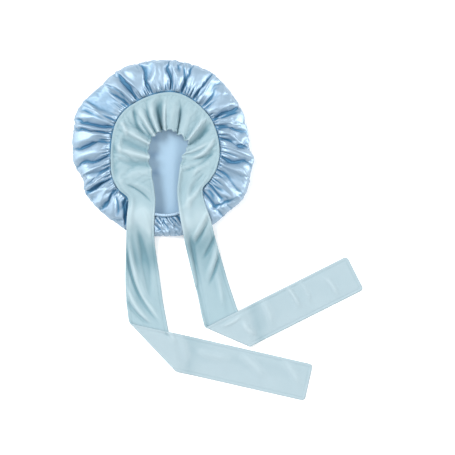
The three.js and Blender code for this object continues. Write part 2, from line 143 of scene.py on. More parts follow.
FOLDS = tuple(Fold(*row) for row in (
    (1, -8, 3, 5, 1), (9, -3, 2.4, -6, 1), (15, 4, 2.8, 5, 1), (20, 13, 2.8, -5, 0.8),
    (25, 18, 2.2, 3, 0.6), (29, 23, 2.2, -7, 1.2), (37, 34, 4.5, 5, 1.2), (46, 46, 3, -4, 0.7),
    (52, 53, 2.2, 5, 1), (57, 57, 2.2, -4, 0.8), (63, 65, 3.5, 3, 1), (71, 73, 2, -6, 1),
    (76, 79, 2.6, 4, 1), (83, 85, 2.8, -6, 0.9), (89, 92, 3, 3, 1), (94, 98, 2.6, 3, 1),
    (100, 108, 2.4, -6, 1.1), (109, 119, 3.4, 5, 1.2), (117, 125, 2.2, -5, 0.8), (122, 132, 2.6, 4, 1),
    (129, 135, 2.2, -6, 0.6), (141, 144, 6, 2, 1.2), (152, 153, 2, 4, 1.2), (157, 160, 2.2, -6, 1.1),
    (161, 166, 2.2, 4, 1), (165, 170, 2.2, -4, 0.8), (169, 175, 2.6, 4, 1.1), (174, 182, 2.4, -7, 0.8),
    (181, 188, 3.2, 4, 1.1), (187, 195, 2.4, -5, 0.8), (194, 200, 3, 5, 1.1), (201, 204, 2.4, -4, 0.7),
    (206, 206.5, 2, 4, 1), (212, 211, 2.6, -8, 1.1), (218, 220, 2.2, 5, 1.1), (223, 227, 2.2, -5, 0.8),
    (228, 234, 2.4, 4, 1), (235, 244, 2.8, -7, 1), (248, 251, 3, 2, 1), (257, 259, 2.4, 2, 1),
    (262, 267, 1.8, -4, 1), (266, 272, 2, 2, 1), (271, 276, 1.8, -3, 0.9), (275, 279, 2, 2, 1),
    (281, 284, 2, -4, 0.8), (288, 290, 3, 2, 1), (296, 297, 2.6, -4, 1), (304, 302, 3, 2, 1),
    (313, 310, 3, -6, 0.8), (322, 319, 2.6, -5, 0.8), (330, 326, 2.6, 4, 1.1), (338, 332, 2.8, -4, 0.8),
    (347, 338, 3.4, 5, 1), (354, 347, 2.2, -5, 0.9),
))

# Middles of the soft shadows painted inside, beside the band's left inner edge, and their half widths in mm.
INNER_SHADOWS = ((-15, 19), (-17, -13), (-14, -46))
SHADOW_HALF = (9, 7)


@dataclass(frozen=True)
class Sway:
    """A seeded wave round the crown.

    Attributes:
        size: Its size in degrees.
        counts: How many times each of its sines goes round.
        seed: Its seed.
    """

    size: float
    counts: tuple[int, ...]
    seed: int

    def at(self, turn: np.ndarray) -> np.ndarray:
        """Its value at angles in radians."""
        return self.size * waves(turn, self.counts, self.seed)


# How the folds sway on their way out: one grows, one grows late, and one is widest halfway.
FOLD_SWAYS = (Sway(2.6, (9, 14, 23), 21), Sway(2.4, (17, 31), 22), Sway(1.6, (5, 8, 12), 24))


@dataclass(frozen=True)
class Gathers:
    """One size of the gathers that stand round the seam.

    Attributes:
        count: How many there are round the crown.
        rise: Their height in mm.
        reach: Share of the way to the outline where they have died out.
        wander: How far their spacing strays, in radians of their own phase.
        seed: Seed of the stray.
    """

    count: int
    rise: float
    reach: float
    wander: float
    seed: int


GATHERS = (Gathers(112, 2.6, 0.36, 6, 11), Gathers(67, 1.8, 0.46, 5, 12), Gathers(41, 1.3, 0.75, 4, 13))

# Sines of the waves that make a size of gathers stray, bend, and differ in strength and reach, and how
# far their seeds are apart.
GATHER_WAVES = ((3, 5, 8, 13, 21), (7, 11, 19), (6, 10, 15, 27), (8, 12, 20))
SEED_STEP = 30


@dataclass(frozen=True)
class BandRow:
    """A cross row of the tie band, in mm.

    Attributes:
        outer_x: Place of the outer edge.
        outer_y: The same for y.
        inner_x: Place of the inner edge.
        inner_y: The same for y.
        outer_z: Height of the outer edge's underside.
        inner_z: Height of the inner edge's underside.
    """

    outer_x: float
    outer_y: float
    inner_x: float
    inner_y: float
    outer_z: float
    inner_z: float


BAND = tuple(BandRow(*row) for row in (
    (-69, -298, -0.5, -288, 1.2, 1.2), (-71, -254, -6, -247, 3, 3), (-70.5, -213, -11.5, -210, 3.6, 3.6),
    (-69, -172, -15.5, -172, 13, 14), (-67, -130, -15, -132, 26.5, 26.5),
    (-65, -97, -13, -101, 24.4, 26.1), (-83, -79, -15, -80, 25.2, 26), (-95, -55, -19, -57, 26.5, 26),
    (-98, -27, -24, -32, 26.7, 25), (-97, 0, -27, -14, 26.7, 24), (-94, 25, -27, 0, 26.7, 24),
    (-87, 48, -24, 10, 26.7, 24), (-72, 69, -19, 20, 26.7, 24), (-50, 85, -10, 28, 26.7, 24),
    (-24, 97, 0, 32, 26.7, 24), (4, 103.5, 10, 34, 26.7, 24), (30, 102, 20, 32, 26.7, 24),
    (54, 91, 30, 26, 26.7, 24), (75, 74, 40, 19, 26.7, 24), (92, 53, 47, 11, 26.7, 24),
    (102.5, 28, 48, 2, 26.7, 24), (107.5, 2, 43, -8, 26.7, 24), (107, -22, 37, -21, 26.7, 25),
    (100, -45, 33, -38, 26.7, 26), (89, -62, 30, -59, 26, 26), (76, -79, 28, -84, 25, 26),
    (80.5, -106, 31, -117, 26.8, 27.4), (91, -136, 36.5, -150, 24, 24.4),
    (99.5, -171, 43.5, -187, 10, 7), (110, -207.5, 52, -224, 3.6, 3),
    (120.5, -244, 61, -261.5, 1.6, 1.6),
))


@dataclass(frozen=True)
class Ruffle:
    """A ruffle of the band's free edge.

    Attributes:
        outer: Row of the band's table where it starts, at the sewn edge.
        inner: Row where it ends, at the free edge.
        width: Half width in rows.
        rise: Rise at the free edge in mm.
    """

    outer: float
    inner: float
    width: float
    rise: float


RUFFLES = tuple(Ruffle(*row) for row in (
    (6.9, 7.5, 0.5, 2.5), (8, 7.9, 0.4, -3), (9.1, 8.7, 0.34, 7.5), (9.9, 9.5, 0.4, -4),
    (10.9, 10.7, 0.36, 7), (11.7, 11.6, 0.26, -4), (12.7, 11.95, 0.2, -5), (13.1, 12.35, 0.24, 9),
    (13.6, 12.8, 0.2, -3.5), (14.05, 13.3, 0.36, 6), (14.6, 13.98, 0.34, -13), (15.1, 14.55, 0.16, 8),
    (15.65, 15.6, 0.75, 4.5), (16.2, 16.8, 0.18, -8), (17.1, 17.6, 0.6, 3.5), (18.45, 18.8, 0.17, 6),
    (19.25, 19.75, 0.45, -6), (20.2, 21.2, 0.24, 4), (21.4, 22.4, 0.3, -3), (22, 23.2, 0.5, 2),
))


@dataclass(frozen=True)
class Pleat:
    """A lengthwise fold of a tie.

    Attributes:
        begin: Row of the band's table where it starts.
        end: Row where it ends.
        across_begin: Share of the way across from the outer edge at its start.
        across_end: The same at its end.
        width: Half width as a share of the band's.
        rise: Rise in mm.
    """

    begin: float
    end: float
    across_begin: float
    across_end: float
    width: float
    rise: float


# Sines and seed of the free edge's scallops at the front, and of the smaller ones all along.
FRONT_SCALLOPS = ((17, 26, 39), 51)
SIDE_SCALLOPS = ((26, 19), 52)

PLEATS = tuple(Pleat(*row) for row in (
    (3, 7.5, 0.1, 0.2, 0.1, 3.5), (22.5, 30.5, 0.96, 0.92, 0.06, 3.6), (22, 26.6, 0.5, 0.62, 0.12, 4),
))


@dataclass(frozen=True)
class Wrinkle:
    """A short crease or ridge on a line in plan.

    Attributes:
        start: Where it starts, in mm.
        end: Where it ends.
        bow: How far its middle is pushed out to the left of its way.
        width: Half width in mm.
        rise: Rise in mm, below zero for a crease.
    """

    start: Pair
    end: Pair
    bow: float
    width: float
    rise: float


# Where along its line a wrinkle fades in and fades out.
WRINKLE_ENDS = ((-0.05, 0.3), (0.6, 1.05))

# Wrinkles of the gathered crown.
CROWN_WRINKLES = tuple(Wrinkle(*row) for row in (
    ((-157, 80), (-97, 50), 1, 1.6, 2.2), ((-158, 74), (-98, 45), 1, 1.8, -1.6),
    ((-80, 84), (-66, 74), 1, 2, -2.2), ((-114, 120), (-55, 80), 5, 2.2, -2),
    ((-89, 139), (-46, 84), 5, 2.2, -2), ((105, 51), (150, 68), 2, 1.8, -3),
    ((106, 56), (148, 75), 2, 2, 2), ((41, 156), (47, 104), -2, 1.8, -3),
    ((88, -114), (158, -84), -2, 2.2, -2.4), ((131, -34), (158, -62), 5, 2.2, 2),
    ((-150, -92), (-100, -57), 1, 3.4, -3.4), ((-76, -92), (-68, -146), 2, 4.5, -4),
    ((-92, -84), (-84, -128), 4, 2.4, -2.4), ((80, -76), (100, -104), 3, 4, -2.6),
    ((92, -70), (118, -88), 2, 2.6, -1.6),
))

# Those of the band and of the first stretch of each tie.
BAND_WRINKLES = tuple(Wrinkle(*row) for row in (
    ((-54, 78), (-30, 22), -8, 3.4, -4.5), ((-44, 72), (-20, 18), -8, 4.6, 3.6),
    ((86, 60), (42, 2), 0, 3.4, 3.6), ((92, 50), (42, -10), 6, 7, -4.5),
    ((102, 22), (30, -29), 12, 4.2, 5), ((100, -6), (30, -47), 8, 4, -4),
    ((94, -44), (34, -120), 2, 5, 4), ((-82, 52), (-68, 14), 5, 4, 4),
    ((-70, 36), (-78, -24), -7, 4, 3.4), ((-91, 20), (-86, -72), -2, 6, -4),
    ((-74, -68), (-18, -108), 6, 2.6, -3.5), ((-62, -66), (-12, -96), 6, 4, 2),
    ((84, -50), (70, -72), 1, 1.6, -1.5), ((79, -46), (62, -66), 1, 1.6, -1.4),
    ((73, -42), (52, -62), 1, 2, -1.4), ((-64, -150), (6, -342), -20, 5, 5),
    ((-67, -188), (-2, -336), -17, 3, -4.5), ((-70, -256), (-14, -338), -9, 4, 4),
    ((-69, -288), (-22, -336), -6, 3, -4.5), ((-51, -132), (-24, -292), 3, 7, -5.5),
    ((-50, -238), (-18, -304), -5, 3, -3.2), ((-36, -112), (-22, -186), 2, 7, 4),
    ((49, -140), (92, -362), -3, 4.5, -4.6), ((86, -118), (54, -176), 2, 3.2, 4.2),
    ((90, -130), (58, -188), 2, 3.4, -3.8), ((100, -162), (75, -212), 2, 3, -4.2),
    ((106, -168), (82, -250), 3, 5, 4.2), ((107, -204), (86, -262), 2, 2.6, -3.6),
    ((100, -232), (114, -306), 2, 5, 3),
))

# Those of the stretch of a tie past its turned edge.
TURNED_WRINKLES = tuple(Wrinkle(*row) for row in (
    ((230, -258), (262, -308), 3, 4, 3.6), ((246, -258), (272, -304), 3, 4, -3),
    ((258, -252), (282, -296), 3, 4, 2), ((304, -242), (334, -284), 3, 5, 3),
    ((150, -330), (178, -356), -2, 5, 3), ((186, -286), (208, -342), 4, 7, 2.6),
    ((110, -340), (150, -318), -2, 3, 2.6), ((-26, -336), (6, -352), 3, 3, 4),
    ((-12, -336), (14, -364), 3, 3, -3), ((2, -342), (26, -372), 3, 4, 2.4),
    ((30, -350), (46, -414), 4, 8, 2.6), ((60, -383), (134, -400), -3, 7, 2.2),
    ((146, -390), (196, -438), 3, 8, 2.6), ((228, -402), (262, -454), 3, 7, 2.4),
))


@dataclass(frozen=True)
class TurnedTie:
    """A tie past the band's table: middle of its turned edge and of its end in plan.

    Attributes:
        turn: Middle of the turned edge in mm.
        end: Middle of the tie's end.
        side: Side of its way down that the outer edge lies on, -1 clockwise, 1 anticlockwise.
        row: Row of the band's table that it goes on from.
    """

    turn: Pair
    end: Pair
    side: int
    row: int


LEFT_TIE = TurnedTie((-21, -372), (282, -441), -1, 0)
RIGHT_TIE = TurnedTie((121, -355), (368, -231), 1, len(BAND) - 1)


def columns(rows: Sequence[object]) -> np.ndarray:
    """A table's rows as an array, a row of numbers each."""
    return np.array([list(vars(row).values()) for row in rows], dtype=float)


def smoothstep(value: np.ndarray, low: float, high: float) -> np.ndarray:
    """0 below low, 1 above high, and 3t^2 - 2t^3 of the share t of the way between them."""
    t = np.clip((value - low) / (high - low), 0, 1)
    return t * t * (3 - 2 * t)


def window(value: np.ndarray, opening: Pair, closing: Pair) -> np.ndarray:
    """1 between two stretches and 0 outside them, with a smooth step over each."""
    return smoothstep(value, *opening) * (1 - smoothstep(value, *closing))


def bell(off: np.ndarray, power: float = 2) -> np.ndarray:
    """A bell of height 1 and half width 1. Powers under 2 make it sharper, and above 2 flatter."""
    return np.exp(-(np.abs(off) ** power))


def lerp(first: np.ndarray, last: np.ndarray, share: np.ndarray) -> np.ndarray:
    """The straight line from first to last at a share of the way."""
    return first + (last - first) * share


def smooth_rows(table: np.ndarray, place: np.ndarray, closed: bool = False) -> np.ndarray:
    """Rows of a table at places between them: a cubic through the four rows round each place.

    Args:
        table: Rows of numbers, or plain numbers.
        place: Places, in rows.
        closed: Whether the last row is followed by the first.

    Returns:
        The rows at the places, with the place's axes first.
    """
    first = np.floor(place).astype(int)
    step = (place - first).reshape(place.shape + (1,) * (table.ndim - 1))
    picks = [first + k for k in (-1, 0, 1, 2)]
    picks = [i % len(table) if closed else np.clip(i, 0, len(table) - 1) for i in picks]
    before, here, after, later = (table[i] for i in picks)
    slope_in, slope_out = (after - before) / 2, (later - here) / 2
    curve = (2 * step - 3) * step * step
    return here - curve * (after - here) + step * (1 - step) * ((1 - step) * slope_in - step * slope_out)


def waves(angle: np.ndarray, counts: Sequence[int], seed: int) -> np.ndarray:
    """A smooth closed wave between about -1 and 1: sines of whole counts round, with seeded phases.

    Args:
        angle: Angles in radians.
        counts: How many times each sine goes round.
        seed: Seed of the phases and weights.

    Returns:
        The weighted mean of the sines at the angles.
    """
    draw = np.random.default_rng(seed)
    phases = draw.uniform(0, 2 * math.pi, len(counts))
    weights = draw.uniform(0.5, 1, len(counts))
    total = sum(w * np.sin(c * angle + p) for c, p, w in zip(counts, phases, weights))
    return total / math.sqrt((weights**2).sum())


def wrinkle_rise(points: np.ndarray, wrinkles: Sequence[Wrinkle]) -> np.ndarray:
    """Rise of wrinkles: a bell across each line, which fades out to both of its ends.

    Args:
        points: Points in mm.
        wrinkles: The wrinkles.

    Returns:
        The sum of the wrinkles' rises in mm.
    """
    x, y = points[..., 0], points[..., 1]
    total = np.zeros(x.shape)
    for wrinkle in wrinkles:
        start, end = np.array(wrinkle.start), np.array(wrinkle.end)
        length = np.linalg.norm(end - start)
        way = (end - start) / length
        along = ((x - start[0]) * way[0] + (y - start[1]) * way[1]) / length
        off = (y - start[1]) * way[0] - (x - start[0]) * way[1]
        off = off - 4 * wrinkle.bow * along * (1 - along)
        total = total + wrinkle.rise * window(along, *WRINKLE_ENDS) * bell(off / wrinkle.width)
    return total


def grid_normals(points: np.ndarray) -> np.ndarray:
    """Unit normals of a grid of points: the cross product of its differences down and along."""
    down = np.gradient(points, axis=0)
    along = np.gradient(points, axis=1)
    normal = np.cross(along, down)
    return normal / np.maximum(np.linalg.norm(normal, axis=-1, keepdims=True), 1e-9)


def soft_ring(values: np.ndarray, width: float, angle: np.ndarray) -> np.ndarray:
    """Values round a ring, averaged with a bell of a half width in steps, read at clock angles."""
    reach = 3 * math.ceil(width)
    weights = bell(np.arange(-reach, reach + 1) / width)
    wide = np.concatenate([values[-reach:], values, values[:reach]])
    smooth = np.convolve(wide, weights / weights.sum(), "valid")
    return np.interp(angle, np.arange(len(values)) * TURN / len(values), smooth, period=TURN)


def ring_normals(points: np.ndarray) -> np.ndarray:
    """Unit normals of a grid whose last column is followed by its first, on its right side."""
    wide = np.concatenate([points[:, -2:], points, points[:, :2]], 1)
    return -grid_normals(wide)[:, 2:-2]


def ring_depth(points: np.ndarray, reach: int) -> np.ndarray:
    """How deep each point lies under the mean of its neighbours round the ring, in mm."""
    height = points[..., 2]
    steps = np.arange(-2 * reach, 2 * reach + 1)
    weights = bell(steps / reach)
    total = np.zeros_like(height)
    for step, weight in zip(steps, weights / weights.sum()):
        total += weight * np.roll(height, step, 1)
    return total - height


def grid_mesh(name: str, points: np.ndarray, uv: np.ndarray, closed: bool,
              pole: bool = False) -> bpy.types.Object:
    """A mesh of four-sided faces from a grid of points.

    Args:
        name: Name of the object.
        points: Rows by columns by three, in mm. The last row is one point many times over at a pole.
        uv: Rows by columns by two, in metres.
        closed: Whether the last column is joined to the first.
        pole: Whether the last row is a pole.

    Returns:
        The object, linked to the scene, with smooth faces and a UV map.
    """
    rows, cols = points.shape[:2]
    body = rows - 1 if pole else rows
    i, j = np.meshgrid(np.arange(body - 1), np.arange(cols if closed else cols - 1), indexing="ij")
    k = (j + 1) % cols
    quads = np.stack([i * cols + j, (i + 1) * cols + j, (i + 1) * cols + k, i * cols + k], -1)
    quads = quads.reshape(-1, 4)
    corner_uv = uv[:body].reshape(-1, 2)[quads].reshape(-1, 2)
    loops, starts = quads.ravel(), np.arange(len(quads)) * 4
    vertices = points[:body].reshape(-1, 3)
    if pole:
        j = np.arange(cols)
        k = (j + 1) % cols
        last = (body - 1) * cols
        fans = np.stack([last + j, np.full(cols, body * cols), last + k], -1)
        fan_uv = np.stack([uv[body - 1][j], uv[rows - 1][j], uv[body - 1][k]], 1).reshape(-1, 2)
        starts = np.concatenate([starts, len(loops) + 3 * j])
        loops = np.concatenate([loops, fans.ravel()])
        corner_uv = np.concatenate([corner_uv, fan_uv])
        vertices = np.concatenate([vertices, points[-1, :1]])
    mesh = bpy.data.meshes.new(name)
    mesh.vertices.add(len(vertices))
    mesh.vertices.foreach_set("co", (vertices * MM).astype(np.float32).ravel())
    mesh.loops.add(len(loops))
    mesh.loops.foreach_set("vertex_index", loops.astype(np.int32))
    mesh.polygons.add(len(starts))
    mesh.polygons.foreach_set("loop_start", starts.astype(np.int32))
    mesh.update(calc_edges=True)
    layer = mesh.uv_layers.new(name="cloth")
    layer.uv.foreach_set("vector", corner_uv.astype(np.float32).ravel())
    mesh.polygons.foreach_set("use_smooth", np.ones(len(mesh.polygons), dtype=bool))
    mesh.validate()
    piece = bpy.data.objects.new(name, mesh)
    bpy.context.scene.collection.objects.link(piece)
    return piece


def join_points(piece: bpy.types.Object, distance: float = 1e-6) -> None:
    """Joins the points of a mesh that lie at one place, which closes a tube that ends in a line."""
    work = bmesh.new()
    work.from_mesh(piece.data)
    bmesh.ops.remove_doubles(work, verts=work.verts, dist=distance)
    work.to_mesh(piece.data)
    work.free()


Number = Union[int, float]

# Width in metres of a band of the wave texture at a scale of 1.
STRIPE = 2 * math.pi / 20


class Value:
    """A shader socket on which Python's operators add Math nodes."""

    def __init__(self, graph: "Graph", socket: bpy.types.NodeSocket) -> None:
        """Wraps a socket of a graph."""
        self.graph = graph
        self.socket = socket

    def math(self, operation: str, first: object, second: object) -> "Value":
        """A Math node of two values, either of which may be a number."""
        node = self.graph.node("ShaderNodeMath", {"operation": operation}, {0: first, 1: second})
        return Value(self.graph, node.outputs[0])

    def __add__(self, other: object) -> "Value":
        """Sum."""
        return self.math("ADD", self, other)

    __radd__ = __add__

    def __sub__(self, other: object) -> "Value":
        """Difference."""
        return self.math("SUBTRACT", self, other)

    def __rsub__(self, other: object) -> "Value":
        """Difference from a number."""
        return self.math("SUBTRACT", other, self)

    def __mul__(self, other: object) -> "Value":
        """Product."""
        return self.math("MULTIPLY", self, other)

    __rmul__ = __mul__


class Graph:
    """The node tree of one material."""

    def __init__(self, name: str) -> None:
        """Starts an empty material of this name."""
        self.material = bpy.data.materials.new(name)
        self.material.use_nodes = True
        self.tree = self.material.node_tree
        self.tree.nodes.clear()

    def node(self, kind: str, settings: dict, sockets: dict) -> bpy.types.Node:
        """Adds a node: its settings first, then the values or links of its sockets.

        Args:
            kind: Type of the node.
            settings: Its own properties.
            sockets: Input sockets by name or number, each a Value, a number or a tuple.

        Returns:
            The node.
        """
        node = self.tree.nodes.new(kind)
        for key, value in settings.items():
            setattr(node, key, value)
        for key, value in sockets.items():
            if isinstance(value, Value):
                self.tree.links.new(value.socket, node.inputs[key])
            else:
                node.inputs[key].default_value = value
        return node

    def value(self, kind: str, settings: dict, sockets: dict, output: object = 0) -> Value:
        """Adds a node and gives one of its outputs."""
        return Value(self, self.node(kind, settings, sockets).outputs[output])

    def stretched_uv(self, scale: tuple[float, float, float]) -> Value:
        """The cloth's own flat coordinates in metres, times a scale."""
        uv = self.value("ShaderNodeUVMap", {"uv_map": "cloth"}, {})
        return self.value("ShaderNodeMapping", {}, {"Vector": uv, "Scale": scale})

    def noise(self, place: Value, scale: Number, detail: Number = 2.0) -> Value:
        """Soft noise between 0 and 1 at a place."""
        return self.value("ShaderNodeTexNoise", {}, {"Vector": place, "Scale": scale, "Detail": detail})

    def patches(self, along: Number, across: Number, detail: Number) -> Value:
        """Soft noise with so many patches to a metre of cloth each way."""
        return self.noise(self.stretched_uv((along, across, 1)), 1.0, detail)

    def bands(self, direction: str, scale: Number, distortion: Number, detail_scale: Number) -> Value:
        """Soft bands between 0 and 1 across one of the cloth's own directions."""
        sockets = {"Vector": self.stretched_uv((1, 1, 1)), "Scale": scale, "Distortion": distortion,
                   "Detail Scale": detail_scale}
        settings = {"wave_type": "BANDS", "bands_direction": direction}
        return self.value("ShaderNodeTexWave", settings, sockets, 1)

    def depth(self, shallow: Number, deep: Number) -> Value:
        """0 to 1 as the depth in the folds goes from one value to another, in mm, to mask painted shade and
        highlight.
        """
        depth = self.value("ShaderNodeAttribute", {"attribute_name": "crease"}, {}, "Fac")
        return self.value("ShaderNodeMapRange", {}, {"Value": depth, "From Min": shallow, "From Max": deep})

    def mix(self, factor: object, first: object, second: object) -> Value:
        """A colour between two."""
        sockets = {"Factor": factor, 6: first, 7: second}
        return self.value("ShaderNodeMix", {"data_type": "RGBA"}, sockets, 2)

    def bump(self, height: Value, distance: Number, strength: Number) -> Value:
        """A normal tilted by a height between 0 and 1, times a distance in metres."""
        sockets = {"Height": height, "Distance": distance, "Strength": strength}
        return self.value("ShaderNodeBump", {}, sockets)

    def finish(self, shader: bpy.types.Node) -> bpy.types.Material:
        """Joins a shader to the material's output."""
        self.node("ShaderNodeOutputMaterial", {}, {"Surface": Value(self, shader.outputs[0])})
        return self.material


def colour(red: Number, green: Number, blue: Number) -> Colour:
    """A colour for a socket from its red, green and blue of 0 to 255 as seen on a screen."""
    def linear(part: Number) -> float:
        """One part in linear light."""
        part = part / 255
        return part / 12.92 if part <= 0.04045 else ((part + 0.055) / 1.055) ** 2.4

    return linear(red), linear(green), linear(blue), 1.0


@dataclass(frozen=True)
class Satin:
    """A satin: long smooth floats of warp, so a strong soft gloss with a deep colour under it, and painted
    shade in its creases.

    Attributes:
        name: Name of the material.
        side: The side that shows.
        body: Colour of the cloth.
        streak: Colour of its paler threads.
        deep: Colour of the painted shade down in the creases, where light only comes by way of the cloth
            itself.
        painted_shade_strength: How strongly that painted shade shows.
        roughness: Roughness of the floats.
        glow: Strength of a painted glow, for light from the other side that shows through the thin cloth.
    """

    name: str
    side: ClothSide
    body: Colour
    streak: Colour
    deep: Colour
    painted_shade_strength: float
    roughness: float
    glow: float

    def material(self) -> bpy.types.Material:
        """Threads and slubs along the grain in colour, roughness and bump over a glossy shader."""
        graph = Graph(self.name)
        slubs = graph.patches(900, 40, detail=3.0)
        clouds = graph.patches(14, 14, detail=2.0)
        grain = graph.bands("X", scale=1050.0, distortion=2.0, detail_scale=60.0)
        tone = graph.mix(slubs * 0.5 + clouds * 0.4, self.body, self.streak)
        # Painted shade: the colour goes towards the deep one where the cloth lies deep in its folds.
        depth = graph.depth(shallow=0.6, deep=7.0)
        tone = graph.mix(depth * self.painted_shade_strength, tone, self.deep)
        right = self.side is ClothSide.RIGHT
        relief = grain * 0.5 + slubs * 0.5
        shader = graph.node("ShaderNodeBsdfPrincipled", {}, {
            "Base Color": tone,
            "Roughness": self.roughness + (slubs - 0.5) * 0.12 + depth * 0.15,
            "Metallic": 0.32 if right else 0.0,
            "Specular IOR Level": 0.8 if right else 0.35,
            "Sheen Weight": 0.1 if right else 0.25,
            "Sheen Roughness": 0.4,
            # Painted light: a glow in the streak colour stands in for light through the thin cloth; the
            # right side has none.
            "Emission Color": self.streak,
            "Emission Strength": self.glow,
            "Normal": graph.bump(relief, 0.00005 if right else 0.00008, 0.6),
        })
        return graph.finish(shader)


@dataclass(frozen=True)
class Knit:
    """A fine matte stretch knit.

    Attributes:
        name: Name of the material.
        body: Colour of the yarn.
        shade: Colour between the stitches.
        deep: Colour of the painted shade down in the folds.
        pale: Colour of the painted highlight up on the ridges.
        wale: Width of a column of stitches in metres.
    """

    name: str
    body: Colour
    shade: Colour
    deep: Colour
    pale: Colour
    wale: float

    def material(self) -> bpy.types.Material:
        """Columns of fine stitches, with soft fuzz and mottling, over a rough shader with sheen."""
        graph = Graph(self.name)
        rounds = STRIPE / self.wale
        wales = graph.bands("Y", scale=rounds, distortion=0.6, detail_scale=200.0)
        courses = graph.bands("X", scale=rounds * 1.3, distortion=0.6, detail_scale=200.0)
        fuzz = graph.patches(2600, 2600, detail=3.0)
        clouds = graph.patches(30, 30, detail=3.0)
        stitches = wales * courses
        tone = graph.mix(stitches * 0.35 + fuzz * 0.25 + clouds * 0.4, self.shade, self.body)
        # Painted shade deep in the folds, and a painted highlight on the ridges, where the depth is below
        # zero.
        tone = graph.mix(graph.depth(shallow=0.2, deep=5.0) * 0.8, tone, self.deep)
        tone = graph.mix(graph.depth(shallow=-0.8, deep=-4.5) * 0.55, tone, self.pale)
        shader = graph.node("ShaderNodeBsdfPrincipled", {}, {
            "Base Color": tone,
            "Roughness": 0.78 + fuzz * 0.2,
            "Specular IOR Level": 0.25,
            "Sheen Weight": 0.15,
            "Sheen Roughness": 0.5,
            "Normal": graph.bump(stitches * 0.7 + fuzz * 0.3, 0.00016, 0.7),
        })
        return graph.finish(shader)


@dataclass(frozen=True)
class Floor:
    """A plain pale floor, lit a little from below as a photographer's white table is.

    Attributes:
        name: Name of the material.
        shade: How much light it gives back.
        glow: How strongly it is lit from below.
    """

    name: str = "pale_floor"
    shade: float = 0.93
    glow: float = 0.3

    def material(self) -> bpy.types.Material:
        """A rough white with the least mottling."""
        graph = Graph(self.name)
        place = graph.value("ShaderNodeTexCoord", {}, {}, "Object")
        clouds = graph.noise(place, 3.0)
        darker = self.shade * 0.985
        tone = graph.mix(clouds, (self.shade, self.shade, self.shade, 1), (darker, darker, darker, 1))
        shader = graph.node("ShaderNodeBsdfPrincipled", {}, {
            "Base Color": tone,
            "Roughness": 0.9,
            "Specular IOR Level": 0.1,
            "Emission Color": (1, 1, 1, 1),
            "Emission Strength": self.glow,
        })
        return graph.finish(shader)


SATIN_RIGHT = Satin("satin_right_side", ClothSide.RIGHT, colour(143, 170, 192), colour(159, 185, 206),
                    colour(50, 114, 152), 0.95, 0.44, 0.0)
# The wrong side's glow is painted light, for light that shows through the cloth into the crown.
SATIN_WRONG = Satin("satin_wrong_side", ClothSide.WRONG, colour(149, 178, 200), colour(159, 188, 209),
                    colour(84, 126, 166), 0.6, 0.5, 0.2)
KNIT = Knit("aqua_knit", colour(174, 199, 208), colour(154, 182, 192), colour(98, 140, 154),
            colour(200, 219, 226), 0.0009)
KNIT_BACK = Knit("aqua_knit_back", colour(184, 203, 211), colour(166, 188, 197), colour(112, 150, 163),
                 colour(196, 214, 221), 0.0009)


@dataclass
class Ceiling:
    """The underside of the cloth that lies over the crown, as a raster of heights.

    Attributes:
        cell: Side of a cell in mm.
        half: Half of the raster's side in mm.
        open_height: Height that stands for nothing overhead once it is softened, in mm.
        lowest: Height that nothing is brought down past, in mm.
        heights: The lowest height over each cell in mm.
    """

    cell: float = 3.0
    half: float = 201.0
    open_height: float = 60.0
    lowest: float = 5.0
    heights: np.ndarray = field(init=False)

    def __post_init__(self) -> None:
        """Starts with nothing overhead."""
        count = int(2 * self.half / self.cell)
        self.heights = np.full((count, count), np.inf)

    def cells(self, points: np.ndarray) -> tuple[np.ndarray, np.ndarray, np.ndarray]:
        """Row and column of the cell that each point lies in, and whether it lies in any."""
        place = np.floor((points[..., :2] + self.half) / self.cell).astype(int)
        inside = np.all((place >= 0) & (place < len(self.heights)), axis=-1)
        place = np.clip(place, 0, len(self.heights) - 1)
        return place[..., 0], place[..., 1], inside

    def add(self, points: np.ndarray) -> None:
        """Lowers each cell to the lowest of the points in it."""
        i, j, inside = self.cells(points)
        np.minimum.at(self.heights, (i[inside], j[inside]), points[..., 2][inside])

    def shifted(self, heights: np.ndarray, reach: int) -> np.ndarray:
        """A raster moved by each number of cells up to a reach, both ways, one over another."""
        steps = range(-reach, reach + 1)
        return np.stack([np.roll(heights, (i, j), (0, 1)) for i in steps for j in steps])

    def soften(self, below: float) -> None:
        """Widens the cloth overhead by two cells and smooths its edge, where y is below a value."""
        heights = np.minimum(self.heights, self.open_height)
        soft = self.shifted(heights, 2).min(0)
        soft = self.shifted(self.shifted(soft, 1).mean(0), 1).mean(0)
        y = (np.arange(len(heights)) + 0.5) * self.cell - self.half
        self.heights = np.where(y[None, :] < below, np.minimum(soft, heights), heights)

    def lower(self, points: np.ndarray, room: float) -> np.ndarray:
        """The points, with those that reach into the cloth overhead brought down to leave room.

        The height overhead is read between the four nearest cells, all short of the raster's edge.
        """
        place = (points[..., :2] + self.half) / self.cell - 0.5
        place = np.clip(place, 0, len(self.heights) - 1.001)
        first = np.floor(place).astype(int)
        part_x, part_y = np.moveaxis(place - first, -1, 0)
        i, j = first[..., 0], first[..., 1]
        near = lerp(self.heights[i, j], self.heights[i, j + 1], part_y)
        far = lerp(self.heights[i + 1, j], self.heights[i + 1, j + 1], part_y)
        lowered = points.copy()
        overhead = np.maximum(lerp(near, far, part_x) - room, self.lowest)
        lowered[..., 2] = np.minimum(points[..., 2], overhead)
        return lowered


def mark_painted_shading(piece: bpy.types.Object, depth: np.ndarray) -> None:
    """Gives a mesh's points their depth in the folds, in mm, as an attribute from which its material paints
    shade and highlight.
    """
    crease = piece.data.attributes.new("crease", "FLOAT", "POINT")
    crease.data.foreach_set("value", depth.astype(np.float32))


